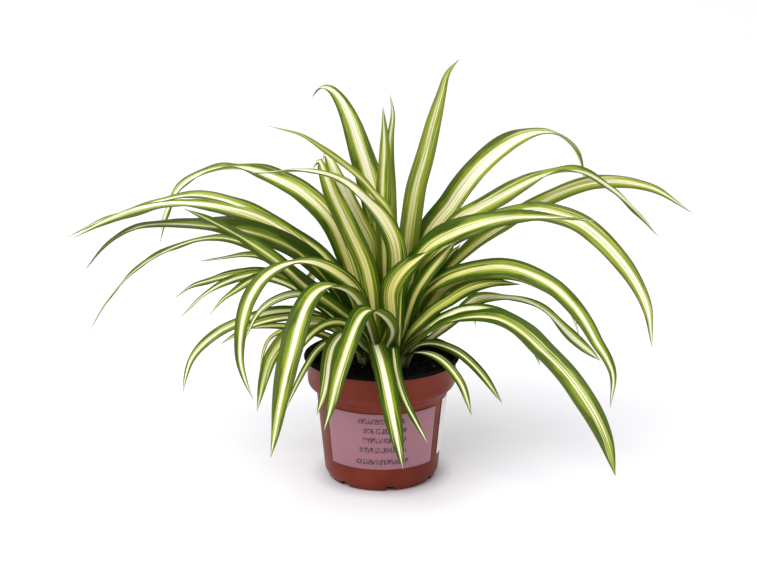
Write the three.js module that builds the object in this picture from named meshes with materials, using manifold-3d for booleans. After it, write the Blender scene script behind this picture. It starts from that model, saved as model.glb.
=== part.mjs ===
// A spider plant in its plastic nursery pot: pot, soil, two labels, five crowns and their blades.
// Millimetres, +Z up, +X to the right, +Y to the back. The origin is the middle of the pot's foot.
import * as THREE from 'three';
import { mergeVertices } from 'three/addons/utils/BufferGeometryUtils.js';
import Module from 'manifold-3d';

const wasm = await Module();
wasm.setup();

// ---- pot ----
const POT_HEIGHT = 97;
const LIP_RADIUS = 60;
const LIP_THICK = 1.5;
const COLLAR_TOP = 57.6;
const COLLAR_FOOT = 57.2;
const COLLAR_FOOT_Z = 77;
const SHOULDER_RADIUS = 51.2;
const SHOULDER_Z = 70.5;
const WALL_TOP = 50.4;
const WALL_TOP_Z = 68.5;
const WALL_FOOT = 44.2;
const WALL_FOOT_Z = 6;
const HEEL_RADIUS = 42;
const HEEL_Z = 3.2;
const FOOT_RADIUS = 41.2;
const WALL = 1.4;
// Where the slopes inside and under the collar start, above or below the outside's own corners.
const INSIDE_FOOT_UP = 3;
const INSIDE_SHOULDER_UP = 1;
const INSIDE_COLLAR_DOWN = 2;
const COLLAR_SLOPE_DOWN = 3;
const SEAT_Z = 5.2;
const COLLAR_ROUND = 1.6;
const LIP_UNDERCUT = 0.8;
const POT_SIDES = 48;
const NOTCHES = 7;
const NOTCH_FIRST = 9;
const NOTCH_HALF = 4.5;
const NOTCH_TALL = 4;
const NOTCH_REACH = 9;
const NOTCH_TAPER = 0.7;

// ---- soil ----
const SOIL_TOP = 88;
const SOIL_GAP = 0.3;
const SOIL_RISE = 1.5;
const SOIL_MIDDLE = 34;

// ---- labels ----
const LABEL_THICK = 0.4;
const LABEL_GAP = 0.3;
const FRONT_LABEL = { from: -54, to: 54, low: 19.5, high: 65.4 };
const SIDE_LABEL = { from: 66, to: 120, low: 22, high: 67.5 };
const LABEL_STEP = 6;

// ---- crowns: where each tuft of blades leaves the soil ----
const CROWN_RADIUS = 9;
const CROWN_TALL = 22;
const CROWN_ROOT = 9;
const CROWN_SIDES = 16;
const CROWN_GAP = 0.4;
// Share of the radius and of the height above the soil, from the buried root up.
const CROWN_PROFILE = [[0.8, -0.38], [0.92, 0], [1, 0.25], [0.86, 0.62], [0.5, 0.93]];
const CROWNS = {
  left: [-13, 3],
  front: [-2, -13],
  right: [14, -3],
  back: [-3, 20],
  rear_right: [16, 17],
};

// ---- blades ----
const BLADE_THICK = 0.8;
const BLADE_STEP = 17;
const TIP_WIDTH = 1.2;
const BASE_SHARE = 0.36;
const ROOT_LOW = 2;
const ROOT_RISE = 9;
const ROOT_OUT = 0.5;
const BROAD_FROM = 0.67;
const POINT_POWER = 2.4;
const FOLD_ROOT = 42;
const FOLD_FALL = 50;
const FOLD_REST = 24.5;
const FOLD_REST_FROM = 0.35;
const LEAST_STEPS = 7;

// The routes are sighted: across and up are read on the upright plane through the pot's axis, as
// seen from EYE, and back is how far behind that plane the point really lies.
const EYE = [-2.4, -1340, 541];

// name: crown, width, share of the length at which it is widest, rolls in degrees at even steps from
// root to tip, route [across, up, back]
const BLADES = {
  leaf_high_left: ['back', 20, 0.38, [38, 45, 50, 35, -5, 40, 80], [
    [-18, 140, 30], [-28, 176, 38], [-40, 204, 44], [-60, 224.5, 54], [-80, 235, 64], [-105, 242.5, 74],
    [-130, 240, 82], [-150, 229, 88], [-162, 209, 91], [-168, 186, 92]]],
  leaf_long_left: ['left', 11, 0.38, [30, 45, 50, 40, 10, 20, 50], [
    [-24, 141, 17.5], [-44, 176, 22], [-70, 194.5, 22], [-100, 212, 29], [-138, 222, 38],
    [-165, 218, 43], [-195, 209, 48], [-220, 199, 52], [-238, 190, 54]]],
  leaf_under_left: ['left', 14, 0.42, [25, 45, 55, 45, 15, 50, 60], [
    [-27.5, 130, 5.5], [-46, 164, 6], [-68, 187, 6], [-90, 201.5, 9], [-112, 209.5, 12],
    [-135, 214, 15], [-162, 214.5, 19], [-187, 209, 22], [-213, 200, 25], [-234, 189, 27]]],
  leaf_level_left: ['left', 18, 0.42, [25, 50, 60, 60, 20, 0, 10], [
    [-25, 128, -1], [-44, 159, -5], [-65, 180, -9], [-85, 190, -13], [-105, 195.5, -16],
    [-130, 198, -17], [-155, 199.5, -18], [-180, 198, -19], [-200, 189.5, -20], [-214, 178, -21],
    [-225, 165, -22]]],
  leaf_straight_left: ['front', 15, 0.4, [20, 60, 62, 50, 48], [
    [-16, 116, -12.5], [-36, 134, -20.5], [-57, 150, -32], [-80, 170.5, -38], [-100, 185, -41],
    [-120, 197.5, -44], [-138, 207, -46], [-149, 212, -47]]],
  leaf_silver_left: ['back', 8, 0.45, [20, 30, 35, 35, 40], [
    [-20, 122, 30], [-40, 140, 38], [-60, 156.5, 46], [-80, 171, 54], [-100, 182.5, 61],
    [-120, 188.5, 68], [-140, 187, 74], [-160, 180, 79], [-180, 169, 83], [-200, 151.5, 87],
    [-216, 130, 89], [-224, 116, 90]]],
  leaf_short_left: ['back', 9, 0.5, [10, 30, 40, 40, 40], [
    [-20, 119, 22], [-40, 138, 28], [-60, 156, 33], [-78, 169, 37], [-92, 174.7, 40],
    [-105, 175.7, 43], [-120, 173.5, 46], [-138, 171, 49]]],
  leaf_fan_rear: ['left', 9, 0.5, [20, 45, 50, 50, 50], [
    [-25, 120, 10], [-40, 135, 15], [-58, 150, 21], [-78, 159.5, 27], [-95, 162.5, 32],
    [-112, 160.5, 37], [-130, 156, 42], [-145, 151, 46], [-158, 142, 49]]],
  leaf_fan_middle: ['left', 8.5, 0.5, [20, 45, 50, 50, 50], [
    [-27, 115.5, -1.5], [-41, 132.5, 3], [-58, 147.5, 8], [-76, 157, 11], [-92, 160.5, 14],
    [-106, 158.5, 17], [-122, 152.5, 20], [-136, 143.5, 23], [-154, 127, 27]]],
  leaf_fan_front: ['left', 8.5, 0.5, [20, 45, 50, 50, 50], [
    [-27, 115, -8.5], [-42, 131, -8], [-58, 144.5, -8], [-76, 154.5, -9], [-90, 158.5, -10],
    [-100, 155.5, -11], [-112, 147.5, -12], [-122, 140, -13], [-132, 128, -14]]],
  leaf_arch_left: ['front', 13.5, 0.5, [30, 70, 75, -5, 45, 55, 60], [
    [-12.5, 133, -15], [-21, 149, -17.5], [-30, 158, -25], [-45, 166.5, -35], [-60, 169.5, -46],
    [-75, 166.5, -54], [-90, 157, -62], [-100, 144, -68], [-106, 128, -73], [-109, 110, -77],
    [-109.5, 92, -80], [-106, 76, -82], [-100, 60, -83]]],
  leaf_broad_front: ['front', 19.5, 0.55, [0, 0, 10, 25, 30], [
    [-11.5, 122, -24.5], [-18, 138, -32], [-28, 147.5, -41], [-40, 150.5, -53], [-50, 146, -63],
    [-58, 135, -74], [-64, 119, -85], [-69, 100, -95], [-74, 80, -103], [-79, 55, -110],
    [-83, 32, -115], [-87, 11, -118]]],
  leaf_middle_front: ['front', 15.5, 0.55, [0, 0, 10, 20, 25], [
    [8, 114.5, -30], [2, 125.5, -38.5], [-8, 131.5, -47], [-15, 128, -58], [-20, 119, -68],
    [-25, 105, -75], [-29, 93, -82], [-34, 77, -88], [-40, 52, -93], [-45, 33.5, -95]]],
  leaf_rim_front: ['front', 12.5, 0.55, [0, 0, 10, 25, 30], [
    [-15.5, 103, -24.5], [-22, 111, -35.5], [-30, 112, -46], [-37.5, 103, -54], [-41, 90, -60],
    [-42.5, 78, -66], [-44.5, 66, -70], [-50.5, 46.5, -75]]],
  leaf_label_front: ['front', 16.5, 0.5, [0, 0, 5, 10, 10], [
    [-1.5, 97, -28], [-4.5, 103.5, -38], [-4, 101, -48], [-1, 92, -58], [3, 75, -68],
    [7, 54, -77], [11, 33, -84], [14.5, 14, -89], [17, 1, -91]]],
  leaf_label_right: ['front', 8.5, 0.5, [0, 5, 10, 15, 20], [
    [11, 99, -20], [9.5, 101, -36], [10, 94, -50], [11, 84, -60], [14, 70, -68],
    [19, 56, -74], [26, 42, -79], [36, 23, -84]]],
  leaf_rim_left: ['left', 5.5, 0.55, [15, 40, 50, 50, 55], [
    [-18, 96.5, -19], [-30, 106, -23], [-42, 106, -29], [-50, 99.5, -34], [-57, 89, -38],
    [-64, 76, -41], [-70, 63, -43], [-75, 50, -44]]],
  leaf_hanging_left: ['left', 12.5, 0.55, [15, 45, 55, 52, 52], [
    [-22, 102.5, -15], [-34, 114, -16.5], [-47, 121, -21], [-60, 120, -31], [-71, 112.5, -40],
    [-79, 104, -46], [-86, 93, -51], [-91, 78, -56], [-97, 50, -60]]],
  leaf_tucked_left: ['left', 9, 0.5, [15, 40, 60, 55, 45], [
    [-17, 111, -25.5], [-27.5, 120.5, -30], [-37, 122, -38], [-47, 118.5, -45], [-56, 111, -51],
    [-68, 93, -58]]],
  leaf_bow_left: ['left', 7.5, 0.5, [20, 45, 60, 65, 65], [
    [-24, 118, -14], [-40, 136, -17.5], [-55, 144, -20], [-67, 145, -23], [-78, 142, -25],
    [-88, 136.5, -29], [-96, 128, -33], [-106, 107, -38]]],
  leaf_low_left: ['left', 9, 0.6, [20, 50, 60, 70, 75], [
    [-27, 108.5, 7], [-42, 124, 7], [-57, 130, 6], [-72, 131.2, 7], [-88, 129.5, 7],
    [-100, 126, 7], [-113, 121, 7], [-122, 116.5, 6], [-132, 109.5, 5], [-141, 101, 4],
    [-147, 92.5, 3], [-151, 81, 2], [-154, 66, 1]]],
  leaf_slim_left: ['left', 7.5, 0.55, [20, 50, 65, 65, 65], [
    [-27, 107.5, -7], [-42, 121, -7], [-57, 126, -7], [-72, 127, -8], [-88, 124.3, -9],
    [-100, 120, -10], [-124, 105, -11]]],
  leaf_rim_right: ['right', 7.5, 0.6, [10, 35, 45, 48, 48], [
    [24, 97, -14], [33, 97.5, -20], [42, 94.5, -27], [50, 88.5, -36], [57, 80, -43],
    [63, 70, -48], [70, 47, -52]]],
  leaf_low_right: ['right', 8, 0.6, [15, 40, 55, 62, 65], [
    [30, 103.8, -8], [40, 104.8, -10], [50, 102.3, -13], [60, 97.5, -17], [70, 89, -21],
    [80, 77.5, -25], [93.5, 57, -31]]],
  leaf_broad_right: ['right', 17.5, 0.72, [15, 20, 30, 52, 57], [
    [18, 99, -17], [28, 107, -20], [40, 116, -23], [52, 122, -29], [64, 125.8, -36],
    [77, 127, -43], [90, 125.3, -51], [101, 120, -59], [112, 111.5, -67], [124, 100, -76],
    [136, 88, -84], [147, 75, -91], [157, 60.5, -98], [167, 44, -104], [176, 24, -109],
    [184, -4, -112]]],
  leaf_hidden_right: ['right', 9, 0.55, [15, 40, 50, 55, 60], [
    [21, 106, -7], [30, 114.5, -9], [40, 121.3, -11], [50, 127.3, -12], [60, 131.8, -13],
    [72, 133.5, -15], [85, 131.5, -17], [98, 126, -19], [109, 117, -21], [122.5, 88, -24]]],
  leaf_high_arch_right: ['right', 15, 0.5, [30, 60, 65, 65, 65], [
    [25, 117, 0.5], [32, 142, 4], [41, 151.5, 7], [50, 157.3, 9], [62, 161.8, 8],
    [75, 165, 5], [90, 166.5, 0], [103, 164.5, -3], [118, 158.5, -10], [132, 150, -18],
    [146, 136.5, -26], [157, 121.5, -33], [166, 106, -38], [174, 93, -42], [179, 79, -44],
    [178, 53, -45]]],
  leaf_behind_right: ['rear_right', 14, 0.35, [20, 50, 60, 55, 50], [
    [36, 131, 12.5], [50, 150.5, 19], [70, 160, 20], [92, 162, 17], [106, 159.5, 14],
    [120, 153.5, 8], [132, 146, 3], [143, 136, -2], [152.5, 110, -8]]],
  leaf_slim_right: ['right', 12, 0.8, [30, 55, 60, 10, 20, 60, 88], [
    [26, 101, 4], [36, 108, 8], [47, 117, 12], [57, 126, 16], [65, 135, 20],
    [74, 141, 23], [95, 141.5, 28], [108, 139.5, 30], [120, 134.2, 31], [130, 126.5, 32],
    [147, 110, 33], [169, 91.5, 33]]],
  leaf_short_right: ['right', 11, 0.5, [20, 45, 55, 50, 50], [
    [21.5, 112, -9], [31, 123, -9], [40, 131.5, -7], [51, 139, -5], [60, 145.3, 0],
    [70, 150.3, 2], [85, 153.5, 4], [106, 152.7, 6]]],
  leaf_level_right: ['right', 19, 0.5, [20, 30, 40, 60, 30, 20, 20], [
    [17, 125, 10.5], [22, 148, 14], [26, 169, 13], [35, 182, 11], [47, 190.5, 8],
    [60, 196.5, 3], [78, 202, -2], [97, 205, -6], [115, 205.3, -10], [132, 204.3, -14],
    [161, 202.5, -19]]],
  leaf_far_right: ['rear_right', 17, 0.62, [30, 45, 55, 70, 72], [
    [24, 131, 17.5], [31, 160, 22], [43, 177, 24], [60, 191, 24], [80, 200, 22],
    [100, 206.5, 18], [118, 209.5, 12], [135, 206.5, 5], [150, 200.5, -1], [165, 189, -7],
    [178, 175.5, -12], [190, 160, -16], [199, 144, -19], [204, 130, -21], [208.5, 102, -23]]],
  leaf_wavy_right: ['rear_right', 20, 0.45, [35, 55, 60, 58, 45, 0, 80], [
    [17.5, 138, 40], [26, 168, 51], [36, 196, 60], [50, 214.5, 66], [60, 229.5, 69],
    [72, 244, 74], [85, 256, 79], [100, 265.5, 84], [115, 270, 88], [130, 269, 92],
    [141, 261, 95], [148, 249.5, 97], [152.5, 234, 98]]],
  leaf_high_right: ['rear_right', 17, 0.38, [30, 45, 50, 40, 0, 40, 50], [
    [31.5, 135, 26.5], [37, 168, 39], [48, 189, 44], [60, 203, 45], [75, 212, 50],
    [90, 220.5, 54], [105, 229, 57], [120, 236.5, 60], [137, 240.5, 62], [152, 239, 64],
    [170, 228.5, 66], [188, 213.5, 68], [209, 191, 70]]],
  leaf_long_right: ['rear_right', 14, 0.55, [20, 20, 45, 60, 60], [
    [28, 128, 36], [41, 151, 43], [55, 169, 49], [70, 183, 57], [85, 194.5, 65],
    [100, 205, 72], [112, 212.5, 77], [125, 219.5, 81], [140, 226.5, 85], [155, 231, 88],
    [172, 232.8, 91], [190, 231, 94], [207, 226, 96], [234, 209, 99]]],
  leaf_tall: ['rear_right', 18, 0.45, [40, 50, 55, 55, 55], [
    [14.3, 140, 34], [19, 176, 39], [22, 203, 41], [26, 230, 43], [32, 252, 45],
    [38.5, 279, 46], [44, 300, 49], [48.5, 315, 51], [57, 325.5, 53]]],
  leaf_upright_rear: ['back', 11, 0.5, [30, 40, 45, 50, 50], [
    [7.5, 140, 27], [8, 170, 29.5], [7, 200, 31], [6, 225, 31], [5, 248, 32],
    [6.3, 268, 33], [8.3, 284, 33], [6.3, 299, 33]]],
  leaf_upright: ['back', 14, 0.5, [30, 38, 45, 50, 50], [
    [3, 135, 17], [3, 160, 17], [2, 185, 19], [1, 210, 22], [1.2, 235, 23],
    [2.2, 260, 24], [0.8, 290, 24]]],
  leaf_top_left: ['back', 24, 0.42, [40, 48, 50, 50, 35], [
    [2.5, 140, 38.5], [3, 172, 45.5], [-1, 200, 51], [-7, 228, 55], [-14, 252, 58],
    [-23, 279, 61], [-31, 295, 65], [-38, 302.5, 68], [-45, 304, 71], [-51.5, 297.5, 73]]],
  leaf_diagonal: ['rear_right', 8, 0.35, [30, 45, 55, 60, 60], [
    [10, 140, 20], [12.5, 166, 24], [11, 190, 22], [5, 210.5, 14.5], [-5, 223, 14],
    [-17, 236.5, 11], [-30, 248, 8], [-45, 259, 5], [-60, 268.5, 1], [-84, 275.5, -2]]],
  leaf_crossing: ['front', 21, 0.42, [30, 60, 65, 35, 5, 0, 0], [
    [4, 120, 3], [7.5, 145, 6.5], [10, 166, 7.5], [8, 184, 6.5], [1, 199, 4],
    [-9, 212.5, 1], [-18, 222, -2.5], [-27, 229.5, -3], [-40, 236.5, -5], [-52, 240, -7],
    [-65, 241, -9], [-78, 240, -11], [-98, 239.5, -14]]],
  leaf_cream: ['back', 18, 0.65, [45, 52, 55, 55, 55], [
    [-9, 140, 22.5], [-8.5, 165, 25], [-10, 185, 29], [-18, 202, 34], [-27, 219.5, 37],
    [-34, 236, 40], [-39, 249, 43], [-42, 254, 46], [-44, 250, 49]]],
  leaf_inner_left: ['front', 17, 0.6, [40, 50, 50, 50, 48], [
    [-5, 122, 0], [-7.5, 147, 7], [-12, 168, 12], [-20, 187, 16], [-29, 206, 19],
    [-37, 223, 22], [-43, 239, 24], [-47, 249, 26], [-51.5, 243, 30]]],
  leaf_centre: ['front', 22, 0.5, [40, 55, 65, 65, 60], [
    [10.5, 118, -8.5], [9.5, 132, -10], [9, 148, -10], [17, 163, -9], [26, 171.5, -8.5],
    [35, 178.5, -8]]],
  leaf_inner_right: ['right', 13, 0.55, [35, 55, 60, 60, 60], [
    [18.5, 120, -2], [23, 138, -1], [28, 150, 2], [35, 161, 6], [43, 171, 8],
    [57, 187, 12]]],
  leaf_shaded_right: ['right', 12, 0.55, [35, 55, 60, 60, 60], [
    [23, 120, 7.5], [28.5, 140, 11], [33, 151, 12.5], [39, 160, 13.5], [46, 169, 15],
    [60, 184.5, 18]]],
};

// Slight blades that are one body with the crown they grow from.
const YOUNG_BLADES = {
  young_front: ['right', 9, 0.5, [30, 45, 50], [
    [13.8, 106, -19.8], [14.5, 130, -28.5], [15, 145, -26], [16.5, 155, -25]]],
  young_low: ['left', 6.5, 0.55, [20, 50, 65], [
    [-28, 104.5, 1], [-45, 112.5, 0.5], [-60, 117.3, 0], [-75, 119.2, 0], [-90, 119, 0], [-103, 117.3, 0]]],
  young_curl: ['left', 5, 0.55, [20, 50, 60], [
    [-29, 101, 8], [-48, 111.5, 9], [-65, 116, 9.5], [-78, 114.5, 10], [-86, 109, 11], [-90, 101, 11.5],
    [-92.5, 92, 12], [-94, 84, 12]]],
};

// The blades at the back, the same but for plain routes [x, y, z].
const REAR_BLADES = {
  leaf_rear_right: ['rear_right', 13, 0.5, [0, 0, 0], [
    [33, 25, 106], [48, 48, 126], [61, 76, 134], [70, 100, 126], [76, 116, 102], [79, 124, 80]]],
  leaf_rear_middle: ['back', 15, 0.5, [0, 0, 0], [
    [-0.8, 44, 117.5], [-5, 70, 148], [-6, 98, 160], [-8, 126, 146], [-9, 146, 118], [-10, 158, 84]]],
  leaf_rear_left: ['back', 13, 0.5, [0, 0, 0], [
    [-17.6, 40.6, 121.6], [-29, 62, 135], [-44, 86, 138], [-57, 106, 126], [-65, 121, 102], [-69, 130, 78]]],
  leaf_rear_low: ['rear_right', 12, 0.5, [0, 0, 0], [
    [15, 45, 112], [19, 72, 130], [23, 97, 127], [25, 114, 104], [26, 122, 76], [26, 126, 48]]],
  leaf_rear_hanging: ['back', 11, 0.5, [0, 0, 0], [
    [-12, 38, 108], [-18, 60, 122], [-22, 82, 118], [-24, 98, 98], [-25, 105, 74], [-26, 108, 50]]],
};

const group = new THREE.Group();

function standard(color, roughness) {
  return new THREE.MeshStandardMaterial({ color, roughness, metalness: 0 });
}

const TERRACOTTA = standard(0x8f4030, 0.45);
const PEAT = standard(0x14100d, 0.95);
const MAUVE = standard(0xb487a2, 0.55);
const WHITE = standard(0xe6e2de, 0.5);
const PALE_STEM = standard(0xb9c38a, 0.5);
const GREEN = standard(0x5d8029, 0.4);

function add(name, geometry, material) {
  const mesh = new THREE.Mesh(geometry, material);
  mesh.name = name;
  group.add(mesh);
}

function solid(geometry) {
  const bare = geometry.clone();
  bare.deleteAttribute('normal');
  bare.deleteAttribute('uv');
  const welded = mergeVertices(bare, 1e-4);
  return new wasm.Manifold(new wasm.Mesh({
    numProp: 3,
    vertProperties: new Float32Array(welded.attributes.position.array),
    triVerts: new Uint32Array(welded.index.array),
  }));
}

function geometryOf(body) {
  const mesh = body.getMesh();
  const geometry = new THREE.BufferGeometry();
  geometry.setAttribute('position', new THREE.BufferAttribute(new Float32Array(mesh.vertProperties), 3));
  geometry.setIndex(new THREE.BufferAttribute(new Uint32Array(mesh.triVerts), 1));
  return geometry;
}

// A turned body about +Z from [radius, height] pairs, from the axis out and back to the axis.
function turned(profile, sides) {
  const points = profile.map(([radius, height]) => new THREE.Vector2(radius, height));
  return new THREE.LatheGeometry(points, sides).rotateX(Math.PI / 2);
}

// The inside of the pot from its floor up, as [radius, height].
const INSIDE = [
  [HEEL_RADIUS - WALL, SEAT_Z], [WALL_FOOT - WALL, WALL_FOOT_Z + INSIDE_FOOT_UP],
  [WALL_TOP - WALL, WALL_TOP_Z], [SHOULDER_RADIUS - WALL, SHOULDER_Z + INSIDE_SHOULDER_UP],
  [COLLAR_FOOT - COLLAR_ROUND - WALL, COLLAR_FOOT_Z - INSIDE_COLLAR_DOWN],
  [COLLAR_FOOT - WALL, COLLAR_FOOT_Z],
  [COLLAR_TOP - WALL, POT_HEIGHT],
];

function makePot() {
  const body = solid(turned([
    [0, 0], [FOOT_RADIUS, 0], [HEEL_RADIUS, HEEL_Z], [WALL_FOOT, WALL_FOOT_Z],
    [WALL_TOP, WALL_TOP_Z], [SHOULDER_RADIUS, SHOULDER_Z],
    [COLLAR_FOOT - COLLAR_ROUND, COLLAR_FOOT_Z - COLLAR_SLOPE_DOWN],
    [COLLAR_FOOT, COLLAR_FOOT_Z], [COLLAR_TOP, POT_HEIGHT - LIP_THICK - LIP_UNDERCUT],
    [LIP_RADIUS, POT_HEIGHT - LIP_THICK], [LIP_RADIUS, POT_HEIGHT],
    ...INSIDE.toReversed(), [0, SEAT_Z],
  ], POT_SIDES));
  let pot = body;
  for (let i = 0; i < NOTCHES; i += 1) {
    const shape = new THREE.Shape([
      new THREE.Vector2(-NOTCH_HALF, -1), new THREE.Vector2(NOTCH_HALF, -1),
      new THREE.Vector2(NOTCH_HALF * NOTCH_TAPER, NOTCH_TALL),
      new THREE.Vector2(-NOTCH_HALF * NOTCH_TAPER, NOTCH_TALL),
    ]);
    const cutter = new THREE.ExtrudeGeometry(shape, { depth: NOTCH_REACH, bevelEnabled: false });
    cutter.rotateX(Math.PI / 2);
    cutter.translate(0, -FOOT_RADIUS + NOTCH_REACH / 2, 0);
    cutter.rotateZ(THREE.MathUtils.degToRad(NOTCH_FIRST + (i * 360) / NOTCHES));
    pot = pot.subtract(solid(cutter));
  }
  return geometryOf(pot);
}

// Outside radius of the pot's plain wall at a height.
function wallRadius(z) {
  return WALL_FOOT + ((WALL_TOP - WALL_FOOT) * (z - WALL_FOOT_Z)) / (WALL_TOP_Z - WALL_FOOT_Z);
}

// A curved sheet stuck round the wall. Angles run from the front, +Y to the right being 90.
function makeLabel({ from, to, low, high }) {
  const steps = Math.round((to - from) / LABEL_STEP);
  const position = [];
  const index = [];
  for (let i = 0; i <= steps; i += 1) {
    const angle = THREE.MathUtils.degToRad(from + ((to - from) * i) / steps);
    for (const [z, out] of [[low, 0], [low, LABEL_THICK], [high, LABEL_THICK], [high, 0]]) {
      const radius = wallRadius(z) + LABEL_GAP + out;
      position.push(radius * Math.sin(angle), -radius * Math.cos(angle), z);
    }
  }
  for (let i = 0; i < steps; i += 1) {
    for (let k = 0; k < 4; k += 1) {
      const a = i * 4 + k;
      const b = i * 4 + ((k + 1) % 4);
      index.push(a, a + 4, b, b, a + 4, b + 4);
    }
  }
  const end = steps * 4;
  index.push(0, 1, 2, 0, 2, 3, end, end + 2, end + 1, end, end + 3, end + 2);
  const geometry = new THREE.BufferGeometry();
  geometry.setAttribute('position', new THREE.Float32BufferAttribute(position, 3));
  geometry.setIndex(index);
  return geometry;
}

// The short dome of packed leaf bases at the foot of a tuft, grown all round by a margin.
function crownBody(name, grow) {
  const [x, y] = CROWNS[name];
  const r = CROWN_RADIUS + grow;
  const top = SOIL_TOP + CROWN_TALL + grow;
  const foot = SOIL_TOP - CROWN_ROOT - grow;
  const lathe = turned([
    [0, foot], ...CROWN_PROFILE.map(([out, up]) => [r * out, SOIL_TOP + CROWN_TALL * up]), [0, top],
  ], CROWN_SIDES);
  return solid(lathe.translate(x, y, 0));
}

// The place of a sighted point.
function sight([across, up, back]) {
  const t = (back - EYE[1]) / -EYE[1];
  return new THREE.Vector3(EYE[0] + (across - EYE[0]) * t, back, EYE[2] + (up - EYE[2]) * t);
}

function plain([x, y, z]) {
  return new THREE.Vector3(x, y, z);
}

// The midrib: a smooth curve from inside the crown through the given points. A steep blade leaves
// high up near the crown's axis, a level one lower and further out.
function midrib(crown, points) {
  const [x, y] = CROWNS[crown];
  const away = points[0].clone().sub(new THREE.Vector3(x, y, SOIL_TOP)).normalize();
  const root = new THREE.Vector3(x, y, SOIL_TOP + ROOT_LOW + ROOT_RISE * away.z);
  root.x += away.x * CROWN_RADIUS * ROOT_OUT;
  root.y += away.y * CROWN_RADIUS * ROOT_OUT;
  return new THREE.CatmullRomCurve3([root, ...points], false, 'centripetal');
}

// Share of the full width along a blade: a narrow base, the full width by the widest place, a point.
function share(s, widest) {
  const grown = Math.min(s / (widest * BROAD_FROM), 1);
  const base = BASE_SHARE + (1 - BASE_SHARE) * Math.sin((grown * Math.PI) / 2);
  const point = 1 - Math.pow(Math.max((s - widest) / (1 - widest), 0), POINT_POWER);
  return base * point;
}

// How far each half blade is folded up from flat: more at the root than further out.
function foldAngle(s) {
  return THREE.MathUtils.degToRad(s < FOLD_REST_FROM ? FOLD_ROOT - FOLD_FALL * s : FOLD_REST);
}

// The roll at s, between those stated along the blade.
function rollAt(rolls, s) {
  const place = s * (rolls.length - 1);
  const step = Math.min(Math.floor(place), rolls.length - 2);
  return rolls[step] + (rolls[step + 1] - rolls[step]) * (place - step);
}

// A blade as a shallow channel: three points across on each face, in steps along the midrib.
function bladeGeometry([crown, width, widest, rolls, route], place) {
  const curve = midrib(crown, route.map(place));
  const steps = Math.max(LEAST_STEPS, Math.round(curve.getLength() / BLADE_STEP));
  const first = curve.getPointAt(0);
  const last = curve.getPointAt(1);
  const heading = Math.atan2(last.y - first.y, last.x - first.x);
  const side = new THREE.Vector3(Math.sin(heading), -Math.cos(heading), 0);
  if (Math.cos(heading) < 0) side.negate();
  const position = [];
  const index = [];
  for (let i = 0; i <= steps; i += 1) {
    const s = i / steps;
    const centre = curve.getPointAt(s);
    const along = curve.getTangentAt(s);
    const flat = side.clone().addScaledVector(along, -side.dot(along)).normalize();
    let face = new THREE.Vector3().crossVectors(along, flat);
    if (Math.cos(heading) >= 0) face.negate();
    const turn = THREE.MathUtils.degToRad(rollAt(rolls, s));
    const across = flat.clone().multiplyScalar(Math.cos(turn)).addScaledVector(face, -Math.sin(turn));
    face = face.multiplyScalar(Math.cos(turn)).addScaledVector(flat, Math.sin(turn));
    const half = Math.max((width * share(s, widest)) / 2, TIP_WIDTH / 2);
    const fold = foldAngle(s);
    for (const skin of [0.5, -0.5]) {
      for (const j of [-1, 0, 1]) {
        const point = centre.clone()
          .addScaledVector(across, j * half * Math.cos(fold))
          .addScaledVector(face, Math.abs(j) * half * Math.sin(fold) + skin * BLADE_THICK);
        position.push(point.x, point.y, point.z);
      }
    }
  }
  const flip = Math.cos(heading) >= 0;
  const tri = (a, b, c) => (flip ? index.push(a, b, c) : index.push(a, c, b));
  for (let i = 0; i < steps; i += 1) {
    const o = i * 6;
    for (const j of [0, 1]) {
      tri(o + j, o + j + 1, o + j + 6);
      tri(o + j + 1, o + j + 7, o + j + 6);
      tri(o + 3 + j, o + j + 9, o + j + 4);
      tri(o + j + 4, o + j + 9, o + j + 10);
    }
    tri(o, o + 6, o + 3);
    tri(o + 3, o + 6, o + 9);
    tri(o + 2, o + 5, o + 8);
    tri(o + 5, o + 11, o + 8);
  }
  const e = steps * 6;
  tri(0, 3, 1);
  tri(1, 3, 4);
  tri(1, 4, 2);
  tri(2, 4, 5);
  tri(e, e + 1, e + 3);
  tri(e + 1, e + 4, e + 3);
  tri(e + 1, e + 2, e + 4);
  tri(e + 2, e + 5, e + 4);
  const geometry = new THREE.BufferGeometry();
  geometry.setAttribute('position', new THREE.Float32BufferAttribute(position, 3));
  geometry.setIndex(index);
  return geometry;
}

// A blade cut clear of its crown, without the scraps that the cut can leave.
function trimmed(blade, place) {
  const cut = solid(bladeGeometry(blade, place)).subtract(crownBody(blade[0], CROWN_GAP));
  const pieces = cut.decompose().sort((a, b) => b.volume() - a.volume());
  return geometryOf(pieces[0]);
}

// A crown with its young blades, as one body.
function makeCrown(name) {
  let body = crownBody(name, 0);
  for (const blade of Object.values(YOUNG_BLADES)) {
    if (blade[0] === name) body = body.add(solid(bladeGeometry(blade, sight)));
  }
  return geometryOf(body);
}

function makeSoil() {
  const wall = INSIDE.slice(0, -1).map(([radius, height]) => [radius - SOIL_GAP, height + SOIL_GAP]);
  let soil = solid(turned([
    [0, SEAT_Z + SOIL_GAP], ...wall, [COLLAR_FOOT - WALL - SOIL_GAP, SOIL_TOP + SOIL_RISE],
    [SOIL_MIDDLE, SOIL_TOP], [0, SOIL_TOP],
  ], POT_SIDES));
  for (const name of Object.keys(CROWNS)) soil = soil.subtract(crownBody(name, CROWN_GAP));
  return geometryOf(soil);
}

add('pot', makePot(), TERRACOTTA);
add('soil', makeSoil(), PEAT);
add('front_label', makeLabel(FRONT_LABEL), MAUVE);
add('side_label', makeLabel(SIDE_LABEL), WHITE);
for (const name of Object.keys(CROWNS)) add(`crown_${name}`, makeCrown(name), PALE_STEM);
for (const [name, blade] of Object.entries(BLADES)) add(name, trimmed(blade, sight), GREEN);
for (const [name, blade] of Object.entries(REAR_BLADES)) add(name, trimmed(blade, plain), GREEN);

export default group;
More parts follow.
